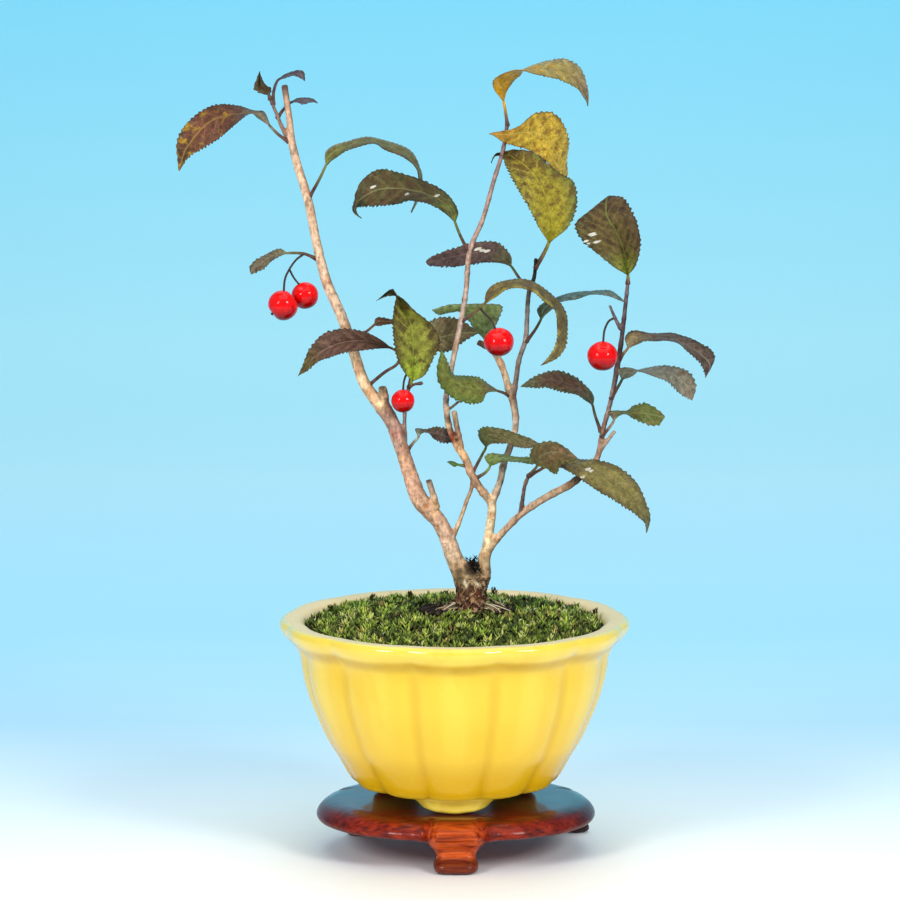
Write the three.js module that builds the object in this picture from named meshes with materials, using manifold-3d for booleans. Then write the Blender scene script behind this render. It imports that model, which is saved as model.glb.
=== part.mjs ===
// Winterberry holly bonsai in a lobed yellow pot on a carved wooden stand.
// Millimetres, +Z up, the stand's feet on z = 0. The viewer of the picture stands at -Y.

import * as THREE from 'three';
import { mergeVertices } from 'three/addons/utils/BufferGeometryUtils.js';
import Module from 'manifold-3d';

const wasm = await Module();
wasm.setup();

// Driving dimensions, in millimetres
const gap = 0.3; // between pieces that touch
const axisX = 3.3; // the pot's axis stands this far right of the middle of the whole spread
const standHeight = 19.5;
const boardThickness = 7.4;
const rimHeight = 87.6;
const rimRadius = 65.3;
const wall = 4.6;
const lobes = 12;
const bladeThickness = 0.65;
const petioleWidth = 1.15;

// The viewpoint that the tree's routes were read from. A route point is [column, row, depth]:
// its column and row in a square picture of 900 units, and its depth in mm towards the viewer.
const viewDistance = 1480;
const viewHeight = 357.4;
const viewX = axisX - 1.67;
const viewTilt = THREE.MathUtils.degToRad(7.96);
const focal = 4039;
const middle = 450;

function seen(column, row, depth) {
  const across = column - middle;
  const up = middle - row;
  const forward = focal * Math.cos(viewTilt) + up * Math.sin(viewTilt);
  const rise = up * Math.cos(viewTilt) - focal * Math.sin(viewTilt);
  const reach = (viewDistance - depth) / forward;
  return new THREE.Vector3(viewX + across * reach, -depth, viewHeight + rise * reach);
}

// Finishes, as plain colours
function finish(color, roughness, metalness = 0) {
  return new THREE.MeshStandardMaterial({ color, roughness, metalness });
}

const finishes = {
  glaze: finish(0xf2cf3c, 0.15),
  wood: finish(0x6b2413, 0.25),
  soil: finish(0x2b211a, 0.95),
  moss: finish(0x4f7a1e, 0.9),
  net: finish(0x1c1c1c, 0.6),
  bark: finish(0xa98467, 0.75),
  greenLeaf: finish(0x66722f, 0.5),
  plumLeaf: finish(0x5b3f38, 0.5),
  goldLeaf: finish(0xb89a34, 0.5),
  fruit: finish(0xd81822, 0.15),
};

const bonsai = new THREE.Group();
bonsai.name = 'winterberry_holly_bonsai';

function addPiece(name, geometry, material) {
  const mesh = new THREE.Mesh(geometry, material);
  mesh.name = name;
  bonsai.add(mesh);
}

// Closed meshes and solids

function signedVolume(points, faces) {
  const cross = new THREE.Vector3();
  let sum = 0;
  for (const [a, b, c] of faces) {
    sum += points[a].dot(cross.crossVectors(points[b], points[c]));
  }
  return sum / 6;
}

function closedGeometry(points, faces) {
  const outward = signedVolume(points, faces) > 0 ? faces : faces.map(([a, b, c]) => [a, c, b]);
  const geometry = new THREE.BufferGeometry();
  geometry.setAttribute('position', new THREE.Float32BufferAttribute(points.flatMap((p) => p.toArray()), 3));
  geometry.setIndex(outward.flat());
  return geometry;
}

function solidOf(geometry) {
  const bare = geometry.clone();
  bare.deleteAttribute('normal');
  bare.deleteAttribute('uv');
  const merged = mergeVertices(bare, 1e-4);
  const vertProperties = new Float32Array(merged.attributes.position.array);
  const triVerts = new Uint32Array(merged.index.array);
  return new wasm.Manifold(new wasm.Mesh({ numProp: 3, vertProperties, triVerts }));
}

function geometryOf(solid) {
  const mesh = solid.getMesh();
  const geometry = new THREE.BufferGeometry();
  geometry.setAttribute('position', new THREE.BufferAttribute(new Float32Array(mesh.vertProperties), 3));
  geometry.setIndex([...mesh.triVerts]);
  return geometry;
}

// Rings of equal count joined into one body, each open end closed with a fan to its middle.
function loft(rings) {
  const count = rings[0].length;
  const points = rings.flat();
  const faces = [];
  for (let i = 0; i + 1 < rings.length; i += 1) {
    for (let j = 0; j < count; j += 1) {
      const a = i * count + j;
      const b = i * count + ((j + 1) % count);
      faces.push([a, b, b + count], [a, b + count, a + count]);
    }
  }
  const ends = [[0, rings[0]], [(rings.length - 1) * count, rings[rings.length - 1]]];
  ends.forEach(([start, ring], end) => {
    const centre = new THREE.Vector3();
    ring.forEach((p) => centre.add(p));
    points.push(centre.divideScalar(count));
    const hub = points.length - 1;
    for (let j = 0; j < count; j += 1) {
      const a = start + j;
      const b = start + ((j + 1) % count);
      faces.push(end === 0 ? [hub, b, a] : [hub, a, b]);
    }
  });
  return closedGeometry(points, faces);
}

// A tapering round stem. Each route point is [column, row, depth, diameter in mm].
function stem(route, sides = 6, step = 5) {
  const curve = new THREE.CatmullRomCurve3(route.map(([c, r, d]) => seen(c, r, d)), false, 'centripetal');
  const count = Math.max(2, Math.round(curve.getLength() / step));
  const frames = curve.computeFrenetFrames(count, false);
  const rings = [];
  for (let i = 0; i <= count; i += 1) {
    const u = curve.getUtoTmapping(i / count);
    const place = u * (route.length - 1);
    const k = Math.min(route.length - 2, Math.floor(place));
    const diameter = THREE.MathUtils.lerp(route[k][3], route[k + 1][3], place - k);
    const centre = curve.getPoint(u);
    rings.push(ringAt(centre, frames.normals[i], frames.binormals[i], diameter / 2, sides));
  }
  return solidOf(loft(rings));
}

function ringAt(centre, normal, binormal, radius, sides) {
  const ring = [];
  for (let j = 0; j < sides; j += 1) {
    const turn = (j / sides) * Math.PI * 2;
    ring.push(
      centre.clone()
        .addScaledVector(normal, Math.cos(turn) * radius)
        .addScaledVector(binormal, Math.sin(turn) * radius),
    );
  }
  return ring;
}

// The pot's and the stand's outlines go round the pot's axis. Angle 0 is the front, at -Y.

function around(angle, radius, z) {
  return new THREE.Vector3(axisX + Math.sin(angle) * radius, -Math.cos(angle) * radius, z);
}

function ringAround(count, z, radiusAt) {
  return Array.from({ length: count }, (_, j) => {
    const angle = (j / count) * Math.PI * 2;
    return around(angle, radiusAt(angle), z);
  });
}

function disc(radius, bottom, top, x, y, sides = 24) {
  const geometry = new THREE.CylinderGeometry(radius, radius, top - bottom, sides);
  geometry.rotateX(Math.PI / 2);
  geometry.translate(x, y, (top + bottom) / 2);
  return solidOf(geometry);
}

// Stand: an oval board and three knees carved from one block

const standX = axisX + 0.5;
const boardRadii = [44.4, 45, 47.4, 51, 52.4, 52.2, 51.4, 49, 46.6, 45.2, 44.8]; // front to back
const legTurns = [0, 120, 240].map(THREE.MathUtils.degToRad);
const boardSides = 60;

function boardRadius(angle) {
  const folded = Math.abs(Math.atan2(Math.sin(angle), Math.cos(angle)));
  const place = (folded / Math.PI) * (boardRadii.length - 1);
  const k = Math.min(boardRadii.length - 2, Math.floor(place));
  return THREE.MathUtils.lerp(boardRadii[k], boardRadii[k + 1], place - k);
}

function makeBoard() {
  const under = standHeight - boardThickness;
  const section = [
    [-12, under],
    [-1.8, under + 0.3],
    [-0.5, under + 1.5],
    [0, under + 3.2],
    [-0.4, under + 5.4],
    [-1.2, under + 6.8],
    [-2.6, standHeight],
  ];
  const rings = section.map(([inset, z]) => ringAround(boardSides, z, (a) => boardRadius(a) + inset));
  return solidOf(loft(rings));
}

// Two V grooves run up the board's edge, one at each side of every knee.
const grooveSpacing = 9.4;
const grooveRadius = 2.2;

function makeGroove(leg, side) {
  const angle = leg + (side * grooveSpacing) / boardRadius(leg);
  const groove = new THREE.CylinderGeometry(grooveRadius, grooveRadius, boardThickness * 3, 3);
  groove.rotateX(Math.PI / 2);
  groove.translate(0, -(boardRadius(angle) + grooveRadius * 0.15), standHeight - boardThickness / 2);
  groove.rotateZ(angle);
  groove.translate(axisX, 0, 0);
  return solidOf(groove);
}

// One knee: it hangs under the board's edge, narrows to an ankle and ends in a rounded toe.
// Each level is [height, front, back, half width], front and back measured from the pot's axis.
const kneeLevels = [
  [0, 43, 33, 7],
  [0.9, 44.6, 32, 8.1],
  [3.2, 45, 31, 8.2],
  [4.6, 43.2, 30.5, 7.5],
  [6.4, 41.4, 30, 7.4],
  [8.6, 41.6, 29.5, 8.6],
  [10.6, 42.6, 29, 11.4],
  [12.2, 43.2, 28.5, 16],
  [14, 43.4, 28.5, 22],
];
const backKneeSplay = 9; // the two back knees run out further at the toe

function makeKnee(turn) {
  const splay = turn === 0 ? 0 : backKneeSplay;
  const top = kneeLevels[kneeLevels.length - 1][0];
  const rings = kneeLevels.map(([z, front, back, half]) => {
    const flat = half * 0.72;
    const out = splay * (1 - z / top / 2);
    const outline = [
      [-flat, front], [flat, front], [half, front - 2], [half, back + 1.5],
      [flat, back], [-flat, back], [-half, back + 1.5], [-half, front - 2],
    ];
    return outline.map(([x, y]) => new THREE.Vector3(x, -y - out, z));
  });
  const geometry = loft(rings);
  geometry.rotateZ(turn);
  geometry.translate(axisX, 0, 0);
  return solidOf(geometry);
}

let standSolid = makeBoard();
for (const turn of legTurns) {
  standSolid = standSolid.add(makeKnee(turn));
}
for (const turn of legTurns) {
  standSolid = standSolid.subtract(makeGroove(turn, 1)).subtract(makeGroove(turn, -1));
}
addPiece('stand', geometryOf(standSolid.translate([standX - axisX, 0, 0])), finishes.wood);

// Pot: lobed bowl with a flared lip, three cloud feet and a drain hole

const potFloor = standHeight + 6;
const stationsPerLobe = 4;
const potSides = lobes * stationsPerLobe;

// The wall bulges between its grooves: 0 in a groove and 1 in the middle of a lobe.
function lobeBulge(angle) {
  return Math.sqrt(Math.abs(Math.cos((angle * lobes) / 2)));
}

const outerProfile = [ // [radius, height, groove depth]
  [32, potFloor, 0.5],
  [37.3, potFloor + 0.7, 1],
  [39.6, 28.2, 1.2],
  [43.5, 35.5, 1.5],
  [47.7, 42.5, 1.7],
  [51, 49.8, 1.8],
  [53.9, 57, 1.8],
  [56, 64.2, 1.8],
  [57.4, 73.3, 1.7],
  [58.4, 76, 1.6],
  [60.9, 79.3, 1.5],
  [63.8, 82, 1.5],
  [rimRadius, 84.6, 1.5],
  [rimRadius - 0.1, 86.2, 1.5],
  [rimRadius - 1.7, rimHeight, 1.4],
];
const innerProfile = [
  [57, rimHeight - 0.2, 1],
  [55.4, 84.6, 0.8],
  [53.6, 78, 0.7],
  [56 - wall, 64.2, 0.6],
  [51 - wall, 49.8, 0.5],
  [39.4, 37, 0.4],
  [30, potFloor + wall + 1, 0],
];

function makeBowl() {
  const rings = [...outerProfile, ...innerProfile].map(([radius, z, groove]) => (
    ringAround(potSides, z, (angle) => radius - groove * (1 - lobeBulge(angle)))
  ));
  return solidOf(loft(rings));
}

// A foot is a low cloud: wide where it meets the bowl, narrower on the board.
const footFront = 29.6;
const footBack = 20;

function makeFoot(turn) {
  const bottom = standHeight + gap;
  const levels = [
    [bottom, 9, 0.8],
    [bottom + 0.8, 10.2, 0.2],
    [bottom + 2.6, 11.4, 0],
    [potFloor + 1.4, 15, -0.8],
  ];
  const rings = levels.map(([z, half, inset]) => {
    const front = footFront - inset;
    const back = footBack + inset;
    const outline = [
      [-half * 0.5, front], [0, front + 0.4], [half * 0.5, front], [half, front - 2.6],
      [half, back + 1.5], [half * 0.6, back], [-half * 0.6, back], [-half, back + 1.5],
      [-half, front - 2.6],
    ];
    return outline.map(([x, y]) => new THREE.Vector3(x, -y, z));
  });
  const geometry = loft(rings);
  geometry.rotateZ(turn);
  geometry.translate(axisX, 0, 0);
  return solidOf(geometry);
}

const drainRadius = 7;
let potSolid = makeBowl();
for (const turn of legTurns) {
  potSolid = potSolid.add(makeFoot(turn));
}
potSolid = potSolid.subtract(disc(drainRadius, potFloor - 2, potFloor + wall + 3, axisX, 0));
addPiece('pot', geometryOf(potSolid), finishes.glaze);

// Drain net: a square of plastic mesh over the hole, under the soil

const netSide = 21;
const netThickness = 1;
const netFloor = potFloor + wall + 1 + gap;

function makeNet() {
  const cells = 3;
  const bar = 1.4;
  const hole = (netSide - bar * (cells + 1)) / cells;
  let net = solidOf(new THREE.BoxGeometry(netSide, netSide, netThickness));
  for (let i = 0; i < cells; i += 1) {
    for (let j = 0; j < cells; j += 1) {
      const opening = new THREE.BoxGeometry(hole, hole, netThickness * 3);
      const pitch = hole + bar;
      opening.translate((i - (cells - 1) / 2) * pitch, (j - (cells - 1) / 2) * pitch, 0);
      net = net.subtract(solidOf(opening));
    }
  }
  return net.translate([axisX, 0, netFloor + netThickness / 2]);
}

addPiece('drain_net', geometryOf(makeNet()), finishes.net);

// Soil: fills the bowl over the net, with a plain hole for the foot of the trunk

const soilTop = 84.4;
const soilFloor = netFloor + netThickness + gap;
const trunkFoot = seen(471, 606, -5);
const stumpRadius = 5.6;
const stumpBottom = 70;

function makeSoil() {
  const profile = [
    [28.5, soilFloor],
    [37.6, 38],
    [45.2, 50],
    [50.4, 64.4],
    [52.2, 76],
    [53.6, soilTop],
  ];
  const rings = profile.map(([radius, z]) => ringAround(36, z, () => radius - gap));
  const hole = disc(stumpRadius + gap, stumpBottom - gap, soilTop + 5, trunkFoot.x, trunkFoot.y, 16);
  return solidOf(loft(rings)).subtract(hole);
}

addPiece('soil', geometryOf(makeSoil()), finishes.soil);

// Moss: a cushioned carpet from the wall to the bare hollow round the trunk's foot

const mossBottom = soilTop + gap;
const mossEdge = 86.6;
const mossCrown = 89.8;
const mossSides = 48;
const mossReach = [0, 0.14, 0.34, 0.55, 0.76, 0.92, 1]; // hollow to wall
const hollow = { x: axisX + 4.2, y: 9.6, halfWide: 17, halfDeep: 11.5 };

function hollowPoint(angle, z) {
  const radius = 1 / Math.hypot(Math.sin(angle) / hollow.halfWide, Math.cos(angle) / hollow.halfDeep);
  return new THREE.Vector3(hollow.x + Math.sin(angle) * radius, hollow.y - Math.cos(angle) * radius, z);
}

function mossPoint(angle, reach, z) {
  const inset = z < mossEdge - 1 ? 1.2 : 0;
  const wallAt = 55.6 - 0.9 * (1 - lobeBulge(angle)) - gap - inset;
  return hollowPoint(angle, z).lerp(around(angle, wallAt, z), reach);
}

// Cushions are two crossed waves on a dome that falls away to the rim and into the hollow.
function mossHeight(angle, reach) {
  const x = Math.sin(angle) * reach;
  const y = Math.cos(angle) * reach;
  const dome = THREE.MathUtils.lerp(mossCrown, mossEdge, reach ** 2.2);
  const cushions = 0.8 * Math.sin(9 * x + 4 * y + 1) * Math.sin(8 * y - 5 * x);
  const lip = reach < 0.1 ? -1.6 : 0;
  return dome + cushions * (1 - reach ** 6) + lip;
}

function makeMoss() {
  const angles = Array.from({ length: mossSides }, (_, j) => (j / mossSides) * Math.PI * 2);
  const top = mossReach.map((reach) => angles.map((a) => mossPoint(a, reach, mossHeight(a, reach))));
  const bottom = [1, 0].map((reach) => angles.map((a) => mossPoint(a, reach, mossBottom)));
  const rings = [...top, ...bottom];
  const points = rings.flat();
  const faces = [];
  for (let i = 0; i < rings.length; i += 1) {
    const here = i * mossSides;
    const next = ((i + 1) % rings.length) * mossSides;
    for (let j = 0; j < mossSides; j += 1) {
      const k = (j + 1) % mossSides;
      faces.push([here + j, here + k, next + k], [here + j, next + k, next + j]);
    }
  }
  return closedGeometry(points, faces);
}

addPiece('moss', makeMoss(), finishes.moss);

// Stems: one grown piece from the root stump to the leaf stalks

const tallStem = [
  [471, 606, -5, 11], [471, 592, -5, 11], [466, 578, -4.4, 9.2], [455, 560, -3.4, 6.4],
  [448, 540, -2.4, 6], [438, 520, -1, 5.8], [429, 510, -0.4, 6.3], [420, 500, 0.6, 6.4],
  [412, 480, 2, 5.7], [405.5, 460, 3, 5.2], [399, 440, 4, 5.3], [391, 420, 5, 5.3],
  [381, 405, 6, 5.7], [372, 395, 6, 4.4], [363, 380, 6, 4.1], [354, 353, 5, 3.9], [343, 320, 4, 3.8],
  [326, 280, 2, 3.7], [316, 240, 0, 3.3], [308, 200, -3, 3.2], [296, 160, -6, 3],
  [291.5, 140, -7, 2.8], [289.5, 120, -8, 2.3], [286.5, 100, -9, 2.3], [284.5, 85, -10, 2.3],
];
const rightTrunk = [
  [471, 602, -6, 9.6], [476, 588, -6.4, 8.2], [484, 575, -6.6, 5], [484, 560, -6, 4.6],
  [488, 545, -5.6, 4.4], [489.5, 530, -5, 3.4], [492, 510, -4.4, 3.2], [491, 498, -4.2, 3.6],
];
const branches = {
  crossStem: [
    [491, 502, -4.2, 3], [480, 488, -3, 2.9], [472, 475, -2, 2.9], [465, 458, -2, 3], [457, 445, -2.5, 2.8],
    [450, 430, -3, 2.3], [447, 415, -3.5, 2.3], [446, 400, -4, 2.1], [453, 360, -3, 2],
    [461, 322, -1.5, 2.1], [466, 290, -1, 1.9], [470, 250, -1, 2], [482.5, 220, -1, 1.7],
    [494, 180, -1.5, 1.6], [503, 150, -2, 1.5], [507.5, 123, -2.5, 1.5],
  ],
  crossStub: [[461, 447, -2.4, 2.3], [457, 428, -1, 2.1], [454, 411, 0, 2]],
  centreStem: [
    [491, 504, -4.2, 3.1], [497, 490, -4.5, 2.6], [500.5, 480, -5, 2.5], [504, 463, -5.5, 2.5],
    [509, 450, -6, 2.4], [514, 435, -6.5, 2.4], [515.8, 420, -7, 2.4], [512.5, 397, -7, 2.9],
  ],
  centreLeftFork: [
    [512.5, 400, -7, 2.7], [509, 390, -7, 2.7], [505, 375, -6.5, 2.4], [500, 362, -6, 2.5],
    [492, 350, -5, 2.3], [478, 342, -3.5, 2.2],
  ],
  centreRightFork: [
    [512.5, 400, -7, 2.4], [516, 380, -8, 1.9], [519, 360, -9, 1.8], [525.5, 340, -10, 1.9],
    [527, 320, -11, 1.7], [528, 300, -12, 1.7], [530, 288, -12, 1.7], [534, 278, -12.5, 1.5],
    [536, 258, -13, 1.2],
  ],
  rightBranch: [
    [489, 549, -5.6, 3.2], [495, 541, -5, 2.7], [505, 530, -3.6, 2.5], [520, 515, -2, 2.5],
    [540, 501, 0, 2.7], [560, 490, 1, 2.7], [568, 486, 2, 2.9], [580, 477, 3, 2.4], [590, 466, 4, 2.2],
    [597, 458, 5, 2.2], [603, 430, 8, 1.8], [611, 400, 11, 1.7], [616.5, 372, 14, 2],
    [621.5, 340, 16, 1.7], [626, 300, 18, 1.5], [628, 281, 19, 1.3],
  ],
  rightStub: [[600, 451, 5.6, 1.7], [607, 441, 7, 1.4], [615, 431, 8, 1.3]],
  berryTwig: [[620.5, 329, 16.4, 1.6], [615, 318, 17.4, 1.2], [609.5, 305, 18.4, 1]],
  upTwig: [[520, 516, -2, 1.8], [522.5, 500, 0, 1.5], [525, 485, 2.6, 1.4], [529, 475, 4.4, 1.4]],
  sideTwig: [
    [453, 537, -2.2, 2], [460, 520, -2, 1.5], [463.6, 510, -2, 1.5], [467, 500, -2.2, 1.4],
    [471, 490, -2.4, 1.4], [472, 481, -2.4, 1.2],
  ],
  kneeStub: [[384, 407, 6, 4], [383.5, 396, 7.6, 3.6], [382.5, 387, 8.6, 3]],
  lowStub: [[437, 508, 0.6, 2.6], [433, 494, 2.4, 2.2], [428.5, 480, 3.8, 2.2]],
  innerShoot: [
    [402, 452, 3, 1.8], [405, 440, 3.4, 1.5], [404.5, 420, 3.6, 1.4], [406, 400, 3.8, 1.3],
    [409, 386, 5.6, 1.3], [411, 375, 5.4, 1.2], [412, 367, 5.4, 1.1],
  ],
  shootKnob: [[409, 388, 5.4, 1.2], [414, 384.5, 6, 1], [423, 383, 6.6, 1.3]],
  topTwig: [
    [287, 137, -7.4, 1.8], [281, 125, -7, 1.4], [277, 115, -7, 1.3], [272, 103, -7.6, 1.2],
    [270.4, 99, -8, 1.1],
  ],
  fallenLeafStalk: [[448, 410, -3.6, 1.1], [454, 405.5, -2.4, 0.95], [459, 401, -1.8, 0.9]],
};
const surfaceRoots = [
  [[466, 602, -3, 2.6], [458, 605, -2, 1.5], [449, 609, -3, 1], [442, 612, -4, 0.9]],
  [[466, 600, -8, 2.4], [457, 601, -10.4, 1.4], [449, 603, -12, 1], [442, 606, -12.6, 0.9]],
  [[477, 602, -4, 2.6], [488, 606, -3, 1.5], [498, 611, -4, 1.1], [505, 615, -6, 0.9]],
  [[477, 600, -8, 2.4], [487, 602, -10.4, 1.4], [496, 606, -11.8, 1], [502, 610, -12.4, 0.9]],
];

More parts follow.
